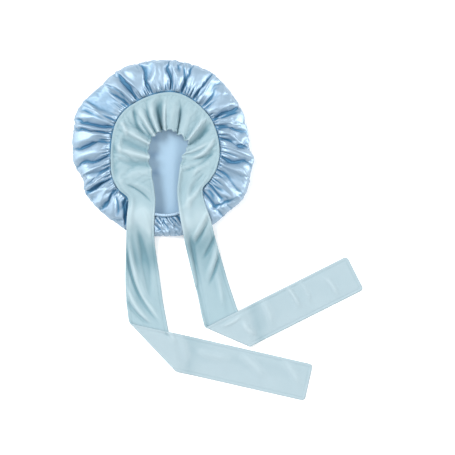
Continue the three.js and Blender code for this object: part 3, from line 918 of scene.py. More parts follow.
@dataclass
class ClothStep:
    """A cloth simulation of a sheet that starts in its folds.

    The sheet's own lengths are grown by a share, so that it buckles further along its folds, and
    softly over them where it is smooth.

    Attributes:
        frames: Frames of it.
        quality: Steps in each frame.
        point_mass: Mass of a point in kilograms.
        stretch: Stiffness against stretching and squeezing.
        shear: Stiffness against shear.
        bend: Stiffness against bending.
        spare: Share by which the lengths grow.
        gravity: Share of gravity that acts.
        drag: How much the air slows it.
    """

    frames: int = 36
    quality: int = 6
    point_mass: float = 0.0008
    stretch: float = 8.0
    shear: float = 4.0
    bend: float = 0.9
    spare: float = 0.07
    gravity: float = 0.1
    drag: float = 2.0

    @staticmethod
    def mark(sheet: bpy.types.Object, name: str, weights: np.ndarray) -> None:
        """Gives a sheet's points their weights in a group, rounded to hundredths."""
        group = sheet.vertex_groups.new(name=name)
        rounded = np.round(weights.ravel(), 2)
        for weight in np.unique(rounded):
            group.add(np.flatnonzero(rounded == weight).tolist(), float(weight), "REPLACE")

    def run(self, sheet: bpy.types.Object, weights: np.ndarray, taut: np.ndarray) -> np.ndarray:
        """Runs the simulation and removes the sheet.

        Args:
            sheet: The starting sheet, a grid whose pole, if it has one, is its last point.
            weights: How firmly each of its points is held, from 0 to 1.
            taut: Where it doesn't grow, from 0 to 1.

        Returns:
            Its settled points in mm.
        """
        self.mark(sheet, "held", weights)
        self.mark(sheet, "taut", taut)
        total = len(sheet.data.vertices)
        cloth = sheet.modifiers.new("settle", "CLOTH")
        settings = cloth.settings
        settings.quality = self.quality
        settings.mass = self.point_mass
        settings.tension_stiffness = settings.compression_stiffness = self.stretch
        settings.shear_stiffness = self.shear
        settings.bending_stiffness = self.bend
        settings.air_damping = self.drag
        settings.shrink_min, settings.shrink_max = -self.spare, 0.0
        settings.vertex_group_shrink = "taut"
        settings.vertex_group_mass = "held"
        settings.pin_stiffness = 1
        settings.effector_weights.gravity = self.gravity
        cloth.collision_settings.use_collision = False
        cloth.point_cache.frame_start, cloth.point_cache.frame_end = 1, self.frames
        scene = bpy.context.scene
        scene.frame_start, scene.frame_end = 1, self.frames
        for frame_number in range(1, self.frames + 1):
            scene.frame_set(frame_number)
        settled = sheet.evaluated_get(bpy.context.evaluated_depsgraph_get())
        points = np.empty(3 * total, np.float32)
        settled.data.vertices.foreach_get("co", points)
        scene.frame_set(1)
        mesh = sheet.data
        bpy.data.objects.remove(sheet)
        bpy.data.meshes.remove(mesh)
        return points.reshape(-1, 3).astype(float) / MM


@dataclass
class Crown:
    """The satin crown: a flat disc gathered all round into a bag, which lies closed side down.

    Attributes:
        columns: Steps round the crown in the finished mesh.
        rows: Rows of the finished mesh from the rim to the floor.
        floor_rows: Rows of the closed side on the floor.
        coarse_columns: Steps round it while it settles.
        coarse_rows: Rows from the rim to the floor while it settles.
        cut_radius: Radius of the flat disc that it is cut from, in mm.
        wall: Thickness of the cloth in mm.
        free_hold: How firmly the gathered cloth is held to where it starts.
        panel_half: Half width of its plain panel in degrees.
        fold_gain: Factor on the rises of the main folds.
        crease_width: Factor on the widths of the creases among them.
        crease_power: Power of a crease's bell, which makes it sharper than a ridge's.
        fold_spread: Factor on a fold's width at the seam, and what is added to it at the outline.
        fold_fade: Where a fold fades out, as shares of its reach.
        turning: Shares of the way out between which the columns turn to their places on the outline.
        edge_blend: Half width of the bell that smooths these places round the crown, in half degrees.
        outline_blend: The same for the outline's radius.
        inset: How far the cloth starts inside the outline, which its folds then fill, in mm.
        closed_fold: Place in x, half width and rise of the closed side's fold, in mm. It runs along y.
        closed_fade: Radii between which that fold fades out, in mm.
        gather_power: Power that rounds the tops of the gathers.
        groove_sink: How far a groove between two of them lies under the smooth cloth, as a share of
            their rise.
        gather_bend: How far the gathers bend on their way out, in radians of their own phase.
        gather_strength: Mean strength of the gathers.
        gather_uneven: How far their strength and reach go up and down round the crown.
        gather_full: Share of a gather's reach up to which it keeps its height.
        bareness: How much of the gathers is missing in the middle of the plain panel.
        bare_half: Half width in degrees of where they are missing.
        nape_half: Half width in degrees of the nape's long gathers.
        nape_gain: How much higher they are.
        nape_reach: Share of the way to the outline where they have died out.
        nape_share: How far their own reach gives way to that one, from 0 to 1.
        nape_lean: How far they lean on their way out, in degrees.
        wide_reach: Half width of the bell that finds how deep the wide folds are, in columns.
        groove_reach: The same for the grooves between the gathers.
        groove_shade: How much darker the grooves are painted than the wide folds.
        groove_near: Factor on that at the seam, and what it loses on the way out.
        groove_rows: Rows over which it loses that.
        seam_rows: Rows over which the painted shade at the seam fades.
        seam_shade: Depth that the cloth right at the seam counts as, in mm: a painted shadow line under the
            band.
        wrinkle_shade: How much darker the wrinkles are painted than the wide folds.
        panel_shade: Depth that the plain panel counts as, in mm: painted shade that dulls it.
        panel_rows: Rows over which that shade begins, and over which it ends.
        under_rows: Rows above the floor that lie out of sight and get no painted shade.
        inner_shade: Depth that the painted soft shadows inside count as, in mm.
        loose_rows: Rows from the rim over which the cloth comes free to settle.
        held_rows: Rows before the outline's underside over which it is held again.
        tucked: Value of y in mm below which it is tucked softly under the band.
        room: Room left under the band in mm.
        settling: Its simulation.
    """

    columns: int = 720
    rows: int = 46
    floor_rows: int = 20
    coarse_columns: int = 400
    coarse_rows: int = 30
    cut_radius: float = 255.0
    wall: float = 0.55
    free_hold: float = 0.02
    panel_half: float = 12.0
    fold_gain: float = 1.05
    crease_width: float = 0.75
    crease_power: float = 1.35
    fold_spread: Pair = (0.8, 0.35)
    fold_fade: Pair = (0.65, 1.4)
    turning: Pair = (-0.2, 1.1)
    edge_blend: float = 6.0
    outline_blend: float = 3.5
    inset: float = 1.2
    closed_fold: tuple[float, float, float] = (22.0, 12.0, 4.0)
    closed_fade: Pair = (100.0, 145.0)
    gather_power: float = 0.9
    groove_sink: float = 1.25
    gather_bend: float = 2.2
    gather_strength: float = 0.75
    gather_uneven: float = 0.35
    gather_full: float = 0.15
    bareness: float = 0.85
    bare_half: float = 8.0
    nape_half: float = 17.0
    nape_gain: float = 0.5
    nape_reach: float = 0.75
    nape_share: float = 0.8
    nape_lean: float = 7.0
    wide_reach: int = 12
    groove_reach: int = 3
    groove_shade: float = 3.5
    groove_near: Pair = (2.2, 1.2)
    groove_rows: Pair = (8, 20)
    seam_rows: Pair = (3, 6)
    seam_shade: float = 8.0
    wrinkle_shade: float = 2.8
    panel_shade: float = 2.6
    panel_rows: tuple[Pair, Pair] = ((8, 16), (28, 36))
    under_rows: int = 4
    inner_shade: float = 7.5
    loose_rows: Pair = (2, 6)
    held_rows: Pair = (8, 3)
    tucked: float = -75.0
    room: float = 0.3
    settling: ClothStep = field(default_factory=ClothStep)

    def edge_angles(self, seam: np.ndarray) -> np.ndarray:
        """Clock angle where each column meets the outline: the folds' own, and between them a blend."""
        table = columns(FOLDS)
        starts, ends = table[:, 0], table[:, 1]
        starts = np.concatenate([starts[-1:] - TURN, starts, starts[:1] + TURN])
        ends = np.concatenate([ends[-1:] - TURN, ends, ends[:1] + TURN])
        return seam + soft_ring(np.interp(RING_SPOTS, starts, ends - starts), self.edge_blend, seam)

    def outline(self, angle: np.ndarray) -> np.ndarray:
        """Radius of the outline at clock angles: straight between the measured ones, then smoothed."""
        table = np.array(OUTLINE)
        radii = np.interp(RING_SPOTS, table[:, 0], table[:, 1], period=TURN)
        return soft_ring(radii, self.outline_blend, angle)

    def fold_rise(self, seam: np.ndarray, share: np.ndarray) -> np.ndarray:
        """Rise of the main folds in mm.

        A ridge is a bell across its column, and a crease a sharper one. Each sways a little on its
        way out, grows wider, and dies out towards its reach.

        Args:
            seam: Clock angle of each column at the seam.
            share: Share of the way to the outline of each row.

        Returns:
            Rows by columns.
        """
        turn = np.radians(seam)
        growing, late, halfway = (sway.at(turn) for sway in FOLD_SWAYS)
        sway = growing * share + late * share**2 + halfway * np.sin(2 * math.pi * share)
        begin, gain = self.fold_spread
        total = np.zeros((len(share), len(seam)))
        for fold in FOLDS:
            off = (seam + sway - fold.seam + TURN / 2) % TURN - TURN / 2
            factor, power = (1.0, 2) if fold.rise > 0 else (self.crease_width, self.crease_power)
            near = off / (fold.width * factor * (begin + gain * share))
            fade = 1 - smoothstep(share, *(edge * fold.reach for edge in self.fold_fade))
            total += self.fold_gain * fold.rise * fade * bell(near, power)
        return total

    def gather_rise(self, seam: np.ndarray, share: np.ndarray, sizes: Sequence[Gathers]) -> np.ndarray:
        """Rise of the gathers in mm: round ridges with sharp grooves, |sin| of a straying phase.

        Args:
            seam: Clock angle of each column at the seam.
            share: Share of the way to the outline of each row.
            sizes: The sizes of gathers that are asked for.

        Returns:
            Rows by columns.
        """
        turn = np.radians(seam)
        total = np.zeros((len(share), len(seam)))
        nape = bell((seam - NAPE) / self.nape_half, 4)
        plain = 1 - self.bareness * bell((seam - PLAIN_PANEL) / self.bare_half) + self.nape_gain * nape
        for size in sizes:
            stray, bend, strong, far = (waves(turn, counts, size.seed + step * SEED_STEP)
                                        for step, counts in enumerate(GATHER_WAVES))
            lean = np.radians(self.nape_lean) * nape * share
            phase = size.count * (turn - lean) + size.wander * stray + self.gather_bend * share * bend
            ridge = 2 * np.abs(np.sin(phase / 2)) ** self.gather_power - self.groove_sink
            strength = self.gather_strength + self.gather_uneven * strong
            reach = size.reach * (1 + self.gather_uneven * far)
            reach = lerp(reach, self.nape_reach, self.nape_share * nape)
            fade = 1 - smoothstep(share / reach, self.gather_full, 1)
            total += size.rise * strength * fade * ridge
        return total * plain

    def profile(self, rows: int) -> tuple[np.ndarray, ...]:
        """Share, shift, height and fold of each row from the rim to the floor, as columns."""
        spots = np.linspace(0, 1, rows - 2)
        spots = np.concatenate([[0, 0.5], 1 + (len(PROFILE) - 2) * spots])
        table = smooth_rows(columns(PROFILE), spots)
        return tuple(table[:, k, None] for k in range(4))

    def surface(self) -> np.ndarray:
        """The cloth's right side before it settles, rim first and the middle of the closed side last.

        A row's radius is the seam's, plus its share of the way to the outline, plus a shift; its
        height is the profile's; and the folds push it out square to the profile. The closed side lies
        flat, apart from one soft fold in it from front to nape.

        Returns:
            Rows by columns by three, in mm.
        """
        seam = np.arange(self.coarse_columns) * TURN / self.coarse_columns
        edge = self.edge_angles(seam)
        inner = smooth_rows(np.array(SEAM_RADIUS, float), seam / PLAN_STEP, True)
        rim = smooth_rows(np.array(RIM_HEIGHT, float), seam / PLAN_STEP, True)
        share, shift, height, fold = self.profile(self.coarse_rows)
        run = np.clip(share, 0, 1)
        angle = np.radians(lerp(seam, edge, smoothstep(run, *self.turning)))
        radius = lerp(inner, self.outline(edge) - self.inset, share) + shift
        z = np.maximum(rim * height, LOWEST)
        across, up = np.gradient(radius, axis=0), np.gradient(z, axis=0)
        length = np.hypot(across, up)
        rise = fold * (self.fold_rise(seam, run) + self.gather_rise(seam, run, GATHERS[1:]))
        places = np.stack([radius * np.cos(angle), radius * np.sin(angle)], -1)
        rise = rise + np.minimum(fold, 1) * wrinkle_rise(places, CROWN_WRINKLES)
        radius = radius - rise * up / length
        z = np.maximum(z + rise * across / length, LOWEST)
        top = np.stack([radius * np.cos(angle), radius * np.sin(angle), z], -1)
        closer = np.linspace(1, 0, self.floor_rows + 1)[1:, None, None]
        closed = top[-1] * [1, 1, 0] * closer + [0, 0, LOWEST]
        place, half, height = self.closed_fold
        inside = 1 - smoothstep(np.hypot(closed[..., 0], closed[..., 1]), *self.closed_fade)
        closed[..., 2] += height * inside * bell((closed[..., 0] - place) / half)
        return np.concatenate([top, closed])

    def settle(self, points: np.ndarray) -> np.ndarray:
        """Lets the gathered cloth settle, held at its rim, the outline's underside and the closed side."""
        body = len(points) - 1
        held = tuple(self.coarse_rows - rows for rows in self.held_rows)
        loose = window(np.arange(body), self.loose_rows, held)
        angle = np.arange(points.shape[1]) * TURN / points.shape[1]
        weights = np.append(np.repeat(lerp(1.0, self.free_hold, loose), points.shape[1]), 1.0)
        plain = bell((angle - PLAIN_PANEL) / self.panel_half)
        taut = np.append(np.tile(plain, body), 1.0)
        flat = np.zeros(points.shape[:2] + (2,))
        sheet = grid_mesh("settling_crown", points, flat, closed=True, pole=True)
        moved = self.settling.run(sheet, weights, taut)
        settled = moved[:-1].reshape(body, -1, 3)
        settled[..., 2] = np.maximum(settled[..., 2], LOWEST)
        return np.concatenate([settled, points[-1:]])

    def refine(self, coarse: np.ndarray) -> np.ndarray:
        """A finer grid through the coarse one, a cubic both ways, with the finest gathers on it."""
        body = self.coarse_rows - 1
        places = np.concatenate([np.linspace(0, body, self.rows),
                                 body + np.arange(1, self.floor_rows + 1)])
        fine = smooth_rows(coarse, places)
        around = np.arange(self.columns) * self.coarse_columns / self.columns
        fine = np.moveaxis(smooth_rows(np.moveaxis(fine, 1, 0), around, True), 0, 1)
        seam = np.arange(self.columns) * TURN / self.columns
        share, _, _, fold = (np.interp(places[:self.rows], np.arange(self.coarse_rows), c[:, 0])[:, None]
                             for c in self.profile(self.coarse_rows))
        rise = fold * self.gather_rise(seam, np.clip(share, 0, 1), GATHERS[:1])
        fine[:self.rows] += rise[..., None] * ring_normals(fine)[:self.rows]
        fine[..., 2] = np.maximum(fine[..., 2], LOWEST)
        return fine

    def flat_cut(self, points: np.ndarray) -> np.ndarray:
        """Where each point lies on the flat disc, in metres: its path from the middle, at its angle."""
        steps = np.linalg.norm(np.diff(points, axis=0), axis=-1).mean(1)
        path = np.concatenate([[0], np.cumsum(steps)])
        cut = (1 - path / path[-1]) * self.cut_radius * MM
        flat = np.arange(self.columns) * 2 * math.pi / self.columns
        return cut[:, None, None] * np.stack([np.cos(flat), np.sin(flat)], -1)

    def painted_shade_depth(self, points: np.ndarray) -> np.ndarray:
        """How much painted shade each point gets, as a depth in mm.

        It is the depth in the wide folds, the grooves and the wrinkles, with more at the seam, on the
        plain panel and in the soft shadows painted inside.
        """
        wide, fine = ring_depth(points, self.wide_reach), ring_depth(points, self.groove_reach)
        place = np.arange(len(points))[:, None]
        angle = np.arange(self.columns)[None, :] * TURN / self.columns
        # Painted shade: a shadow line along the seam, and darker grooves near it and in the wrinkles.
        seam = self.seam_shade * (1 - smoothstep(place, *self.seam_rows))
        near, loss = self.groove_near
        groove = self.groove_shade * (near - loss * smoothstep(place, *self.groove_rows))
        groove = groove * np.maximum(fine, 0)
        painted_wrinkle_shade = self.wrinkle_shade * np.maximum(-wrinkle_rise(points, CROWN_WRINKLES), 0)
        on_top = place < self.rows - self.under_rows
        # Painted shade on the plain panel, and painted soft shadows on the closed side inside.
        plain = self.panel_shade * bell((angle - PLAIN_PANEL) / self.panel_half, 4)
        plain = plain * window(place, *self.panel_rows)
        off = (points[..., None, :2] - np.array(INNER_SHADOWS)) / SHADOW_HALF
        inside = bell(off).prod(-1).sum(-1)
        inside = self.inner_shade * inside * (place > self.rows)
        return wide + groove + seam + (painted_wrinkle_shade + plain) * on_top + inside

    def build(self, ceiling: Ceiling) -> bpy.types.Object:
        """Builds and dresses the crown, and gives its wall a thickness inwards.

        Args:
            ceiling: What lies over it.

        Returns:
            The crown.
        """
        coarse = self.surface()
        coarse = self.settle(coarse)
        ceiling.soften(self.tucked)
        points = ceiling.lower(self.refine(coarse), self.room)
        # Painted shade for the satin's colour, as a depth in mm.
        depth = self.painted_shade_depth(points)
        piece = grid_mesh("satin_crown", points, self.flat_cut(points), closed=True, pole=True)
        mark_painted_shading(piece, np.append(depth[:-1].ravel(), depth[-1, 0]))
        piece.data.materials.append(SATIN_RIGHT.material())
        piece.data.materials.append(SATIN_WRONG.material())
        wall = piece.modifiers.new("wall", "SOLIDIFY")
        wall.thickness = self.wall * MM
        wall.offset = -1
        wall.material_offset = 1
        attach(piece, "root")
        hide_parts("crown")
        return piece


@dataclass
class TieBand:
    """The knit tie band: one strip from the left tie's end, round the front, to the right tie's end.

    Attributes:
        width: Width of the strip in mm.
        half_wall: Half of its thickness in mm.
        laid_height: Height of the wall's middle where it lies on the floor, in mm.
        turn_radius: Radius of the turned edges in mm, at the middle of the wall.
        edge_round: How far in from an edge the wall has its full thickness, in mm.
        hem: How far in from an edge the seam allowance ends, in mm.
        hem_half: Half width of the line along it in mm.
        hem_depth: Share of the wall that is missing along that line.
        hem_shade: Depth that the line counts as for its colour, in mm: painted shade along its groove.
        roll: Share of the wall that the seam adds beside the edge.
        roll_place: How far in from the edge it adds most, in mm.
        roll_half: Half width of that in mm.
        corner: Radius of the sewn corners at the ends in mm.
        corner_rows: Rows in such a corner.
        corner_begin: Angle where they begin, in radians.
        swing: Length past a turned edge over which the cross rows swing square again, in mm.
        sink: Length over which a tie comes down beside the layer under it, in mm.
        across_steps: Faces across each side of the strip.
        crowding: How far these crowd to the edges, from 0 to 1.
        row_step: Step along a tie past the table, in mm.
        turn_step: Step along it at its turned edge, in mm.
        turn_stretch: Where that finer step begins and ends, in mm past the middle of the edge.
        ruffled: Rows of the table between which the steps are finest.
        tie_places: Steps to a row of the table before these, along the left tie.
        front_places: Steps to a row between them.
        right_places: Steps in all after them, along the right tie.
        ruffle_growth: Shares of the way across over which a ruffle grows.
        narrow_ruffle: Half width in rows below which a ruffle is finer than the settling sheet.
        scalloped_front: Rows over which the front's scallops begin, and over which they end.
        scalloped_sides: The same for the smaller ones of the whole front and sides.
        scallop_growth: Shares of the way across over which they grow.
        scallop_front: How far the front's reach out, as a share of the width.
        scallop_in: How far in their middle lies, as a share of that.
        scallop_sides: How far the smaller ones reach out.
        coarse_steps: Faces across the sheet that settles.
        coarse_rows: Its rows between the ties' turned stretches.
        loose_front: Rows over which the front comes free to settle, and over which it is held again.
        sewn_front: Rows over which its sewn edge begins, and over which that ends.
        sewn_margin: How far in from the outer edge it is sewn, in mm, fading between the two.
        free_hold: How firmly the front is held to where it starts.
        laid_hold: The same for the ties' first stretches, which lie on what is under them.
        turned_hold: The same for the stretches past the table.
        depth_across: Half width of the bell that finds how deep the folds are across it, in faces.
        depth_along: The same along it, in rows.
        settling: Its simulation.
        ceiling: The band's underside, for the crown.
    """

    width: float = 71.0
    half_wall: float = 0.9
    laid_height: float = 1.4
    turn_radius: float = 2.2
    edge_round: float = 1.6
    hem: float = 6.0
    hem_half: float = 1.3
    hem_depth: float = 0.6
    hem_shade: float = 1.1
    roll: float = 0.45
    roll_place: float = 2.0
    roll_half: float = 1.2
    corner: float = 7.0
    corner_rows: int = 8
    corner_begin: float = 0.3
    swing: float = 130.0
    sink: float = 30.0
    across_steps: int = 42
    crowding: float = 0.45
    row_step: float = 2.0
    turn_step: float = 0.5
    turn_stretch: Pair = (-6, 14)
    ruffled: Pair = (6, 24)
    tie_places: int = 14
    front_places: int = 28
    right_places: int = 84
    ruffle_growth: Pair = (0.03, 0.6)
    narrow_ruffle: float = 0.3
    scalloped_front: tuple[Pair, Pair] = ((10.5, 12.5), (19, 20.5))
    scalloped_sides: tuple[Pair, Pair] = ((6, 8), (22, 24))
    scallop_growth: Pair = (0.55, 1)
    scallop_front: float = 0.03
    scallop_in: float = 0.3
    scallop_sides: float = 0.022
    coarse_steps: int = 20
    coarse_rows: int = 460
    loose_front: tuple[Pair, Pair] = ((5.5, 8.5), (21, 24))
    sewn_front: tuple[Pair, Pair] = ((5, 6), (24, 25))
    sewn_margin: Pair = (2, 9)
    free_hold: float = 0.06
    laid_hold: float = 0.2
    turned_hold: float = 1.0
    depth_across: int = 5
    depth_along: int = 20
    settling: ClothStep = field(default_factory=lambda: ClothStep(spare=0.03, bend=0.4, gravity=0.0))
    ceiling: Ceiling = field(default_factory=Ceiling)

    def ruffle_rise(self, along: np.ndarray, across: np.ndarray, narrow: bool) -> np.ndarray:
        """Rise of the narrow or of the wide ruffles: a bell along the band, growing to the free edge."""
        total = np.zeros(np.broadcast(along, across).shape)
        for ruffle in (r for r in RUFFLES if narrow is (r.width < self.narrow_ruffle)):
            off = (along - lerp(ruffle.outer, ruffle.inner, across)) / ruffle.width
            total += ruffle.rise * bell(off)
        return total * smoothstep(across, *self.ruffle_growth)

    def scallop(self, along: np.ndarray) -> np.ndarray:
        """How far the free edge reaches past its line or short of it, as a share of the width."""
        turn = along * 2 * math.pi / (len(BAND) - 1)
        front = self.scallop_front * window(along, *self.scalloped_front)
        sides = self.scallop_sides * window(along, *self.scalloped_sides)
        return front * (waves(turn, *FRONT_SCALLOPS) - self.scallop_in) + sides * waves(turn, *SIDE_SCALLOPS)

    def pleat_rise(self, along: np.ndarray, across: np.ndarray) -> np.ndarray:
        """Rise of the ties' lengthwise folds: a bell across, fading in and out over one row."""
        total = np.zeros(np.broadcast(along, across).shape)
        for pleat in PLEATS:
            share = (along - pleat.begin) / (pleat.end - pleat.begin)
            middle = lerp(pleat.across_begin, pleat.across_end, share)
            shows = window(along, (pleat.begin, pleat.begin + 1), (pleat.end - 1, pleat.end))
            total += pleat.rise * shows * bell((across - middle) / pleat.width)
        return total

    def draped(self, along: np.ndarray, across: np.ndarray) -> np.ndarray:
        """Middle of the wall between the table's rows: a straight line across, plus the ruffles."""
        row = smooth_rows(columns(BAND), along[:, 0])[:, None, :]
        reach = across * (1 + self.scallop(along) * smoothstep(across, *self.scallop_growth))
        x = lerp(row[..., 0], row[..., 2], reach)
        y = lerp(row[..., 1], row[..., 3], reach)
        flat = np.maximum(lerp(row[..., 4], row[..., 5], across), 0)
        z = flat + self.ruffle_rise(along, across, narrow=False)
        return np.stack([x, y, z + self.laid_height], -1)

    def turned(self, tie: TurnedTie, across: np.ndarray) -> np.ndarray:
        """Middle of the wall past the table, rows first.

        The cloth is flat up to a line through the turned edge. Past it, it runs round a half circle
        and back over itself, mirrored in plan, and sinks to the floor beside the layer under it.

        Args:
            tie: The tie.
            across: Shares of the way across, from the outer edge.

        Returns:
            Rows by columns by three, from the table's row on to the tie's end.
        """
        row = columns(BAND)[tie.row]
        first, draped = (row[:2] + row[2:4]) / 2, np.linalg.norm(row[:2] - row[2:4])
        turn, end = np.array(tie.turn, float), np.array(tie.end, float)
        start, finish = -np.linalg.norm(turn - first), np.linalg.norm(end - turn)
        down, away = (turn - first) / -start, (end - turn) / finish
        outward = np.array([-down[1], down[0]]) * tie.side
        edge = (down + away) / np.linalg.norm(down + away)
        square = np.array([-edge[1], edge[0]])
        square = square * np.sign(square @ down)
        lean = (edge @ down) / (edge @ outward)
        before, after = self.turn_stretch
        corner = np.sin(np.linspace(self.corner_begin, math.pi / 2, self.corner_rows))
        past = np.concatenate([np.arange(start + self.row_step, before, self.row_step),
                               np.arange(before, after, self.turn_step),
                               np.arange(after, finish, self.row_step),
                               finish - self.corner * (1 - corner)])
        past = np.unique(np.round(past, 3))[:, None]
        into = self.corner - np.minimum(finish - past, self.corner)
        half = lerp(draped / 2, self.width / 2, smoothstep(past, start, 0))
        half = half - self.corner + np.sqrt(np.maximum(self.corner**2 - into**2, 0))
        near = np.where(past < 0, smoothstep(past, start, 0), 1 - smoothstep(past, 0, self.swing))
        aside = half * (1 - 2 * across)
        place = past + near * aside * lean
        flat = turn + place[..., None] * down + aside[..., None] * outward
        beyond = (flat - turn) @ square
        bend = np.clip(beyond / self.turn_radius, 0, math.pi)
        reach = self.turn_radius * np.sin(bend) - np.maximum(beyond - math.pi * self.turn_radius, 0)
        at = np.where(beyond[..., None] > 0, flat + (reach - beyond)[..., None] * square, flat)
        off_side = np.abs((at - turn) @ outward) - self.width / 2
        sink = 2 * self.turn_radius * smoothstep(off_side, 0, self.sink)
        lift = row[4:].mean() * (1 - smoothstep(past, 0, self.sink))
        z = lift + self.turn_radius * (1 - np.cos(bend)) - np.where(beyond > 0, sink, 0)
        z = z + wrinkle_rise(at, BAND_WRINKLES) * (beyond <= 0)
        z = z + wrinkle_rise(at, TURNED_WRINKLES) * (beyond > math.pi * self.turn_radius)
        return np.concatenate([at, (z + self.laid_height)[..., None]], -1)

    def holds(self, left: int, along: np.ndarray, right: int,
              across: np.ndarray) -> tuple[np.ndarray, np.ndarray]:
        """How firmly each point is held while the strip settles, and where it doesn't grow.

        It is sewn down along its outer edge round the front, held where it is turned over, and
        lightly held where it lies on the floor. Only its front has spare length.

        Args:
            left: Rows of the left tie past the table.
            along: Places of the table's rows.
            right: Rows of the right tie past the table.
            across: Shares of the way across.

        Returns:
            Both as rows by columns.
        """
        front = window(along, *self.loose_front)
        edge = window(along, *self.sewn_front) * (1 - smoothstep(across * self.width, *self.sewn_margin))
        held = np.maximum(edge, lerp(self.laid_hold, self.free_hold, front))
        ends = [np.full((count, across.shape[1]), self.turned_hold) for count in (left, right)]
        taut = np.broadcast_to(1 - front, held.shape)
        return (np.concatenate([ends[0], held, ends[1]]),
                np.concatenate([np.ones_like(ends[0]), taut, np.ones_like(ends[1])]))

    def middle(self) -> tuple[np.ndarray, np.ndarray]:
        """Middle of the wall of the whole strip, from the left tie's end to the right one's.

        Pleats, wrinkles and narrow ruffles, finer than the sheet that settles, are added after it.

        Returns:
            The points in mm, and the shares across.
        """
        across = np.linspace(0, 1, self.coarse_steps + 1)[None, :]
        along = np.linspace(0, len(BAND) - 1, self.coarse_rows)[:, None]
        front = self.draped(along, across)
        left, right = self.turned(LEFT_TIE, across)[::-1], self.turned(RIGHT_TIE, across)
        points = np.concatenate([left, front, right])
        sheet = grid_mesh("settling_band", points, np.zeros(points.shape[:2] + (2,)), closed=False)
        moved = self.settling.run(sheet, *self.holds(len(left), along, len(right), across))
        front = moved.reshape(points.shape)[len(left):len(left) + len(along)]
        begin, end = self.ruffled
        places = np.concatenate([np.arange(0, begin, 1 / self.tie_places),
                                 np.arange(begin, end, 1 / self.front_places),
                                 np.linspace(end, len(BAND) - 1, self.right_places)])
        front = smooth_rows(front, np.interp(places, along[:, 0], np.arange(len(along))))
        places = places[:, None]
        fine = (1 - np.cos(np.linspace(0, math.pi, self.across_steps + 1))) / 2
        fine = lerp(np.linspace(0, 1, self.across_steps + 1), fine, self.crowding)
        front = np.moveaxis(smooth_rows(np.moveaxis(front, 1, 0), fine * self.coarse_steps), 0, 1)
        fine = fine[None, :]
        front[..., 2] += self.pleat_rise(places, fine) + self.ruffle_rise(places, fine, narrow=True)
        front[..., 2] += wrinkle_rise(front, BAND_WRINKLES)
        points = np.concatenate([self.turned(LEFT_TIE, fine)[::-1], front, self.turned(RIGHT_TIE, fine)])
        points[..., 2] = np.maximum(points[..., 2], self.laid_height)
        return points, fine

    def build(self) -> bpy.types.Object:
        """Builds both sides of the strip round its middle, with thin rounded edges, and dresses it."""
        middle, across = self.middle()
        normal = grid_normals(middle)
        near_edge = np.minimum(across, 1 - across)[0] * self.width
        lengths = np.linalg.norm(np.diff(middle[:, self.across_steps // 2], axis=0), axis=1)
        along = np.concatenate([[0], np.cumsum(lengths)])
        near_end = np.minimum(along, along[-1] - along)[:, None]
        round_edge = np.sqrt(np.clip(near_edge / self.edge_round, 0, 1))[None, :]
        round_end = np.sqrt(np.clip(near_end / self.edge_round, 0, 1))
        inset = np.minimum(near_edge, near_end)
        hem = bell((inset - self.hem) / self.hem_half)
        relief = 1 - self.hem_depth * hem + self.roll * bell((inset - self.roll_place) / self.roll_half)
        wall = self.half_wall * round_edge * round_end * relief
        offset = normal * wall[..., None]
        self.ceiling.add(middle - [0, 0, self.half_wall])
        face, back = middle + offset, (middle - offset)[:, ::-1]
        loop = np.concatenate([face, back[:, 1:-1]], 1)
        along = along * MM
        side = across[0] * self.width * MM
        side = np.concatenate([side, side[::-1][1:-1]])
        uv = np.stack(np.broadcast_arrays(along[:, None], side[None, :]), -1)
        piece = grid_mesh("tie_band", loop[:, ::-1], uv[:, ::-1], closed=True)
        # Painted shade in the folds and along the hem line, and on the knit a painted highlight where the
        # depth is below zero.
        margin = 2 * self.depth_across
        wide = np.pad(middle, ((0, 0), (margin, margin), (0, 0)), "edge")
        depth = ring_depth(wide, self.depth_across)[:, margin:-margin]
        depth = depth + ring_depth(np.moveaxis(middle, 1, 0), self.depth_along).T + self.hem_shade * hem
        mark_painted_shading(piece, np.concatenate([depth, depth[:, ::-1][:, 1:-1]], 1)[:, ::-1].ravel())
        place = np.arange(len(piece.data.polygons)) % loop.shape[1]
        piece.data.polygons.foreach_set("material_index", (place < self.across_steps - 1).astype(np.int32))
        join_points(piece)
        piece.data.materials.append(KNIT.material())
        piece.data.materials.append(KNIT_BACK.material())
        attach(piece, "root")
        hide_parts("front_band", "left_tie", "right_tie")
        return piece


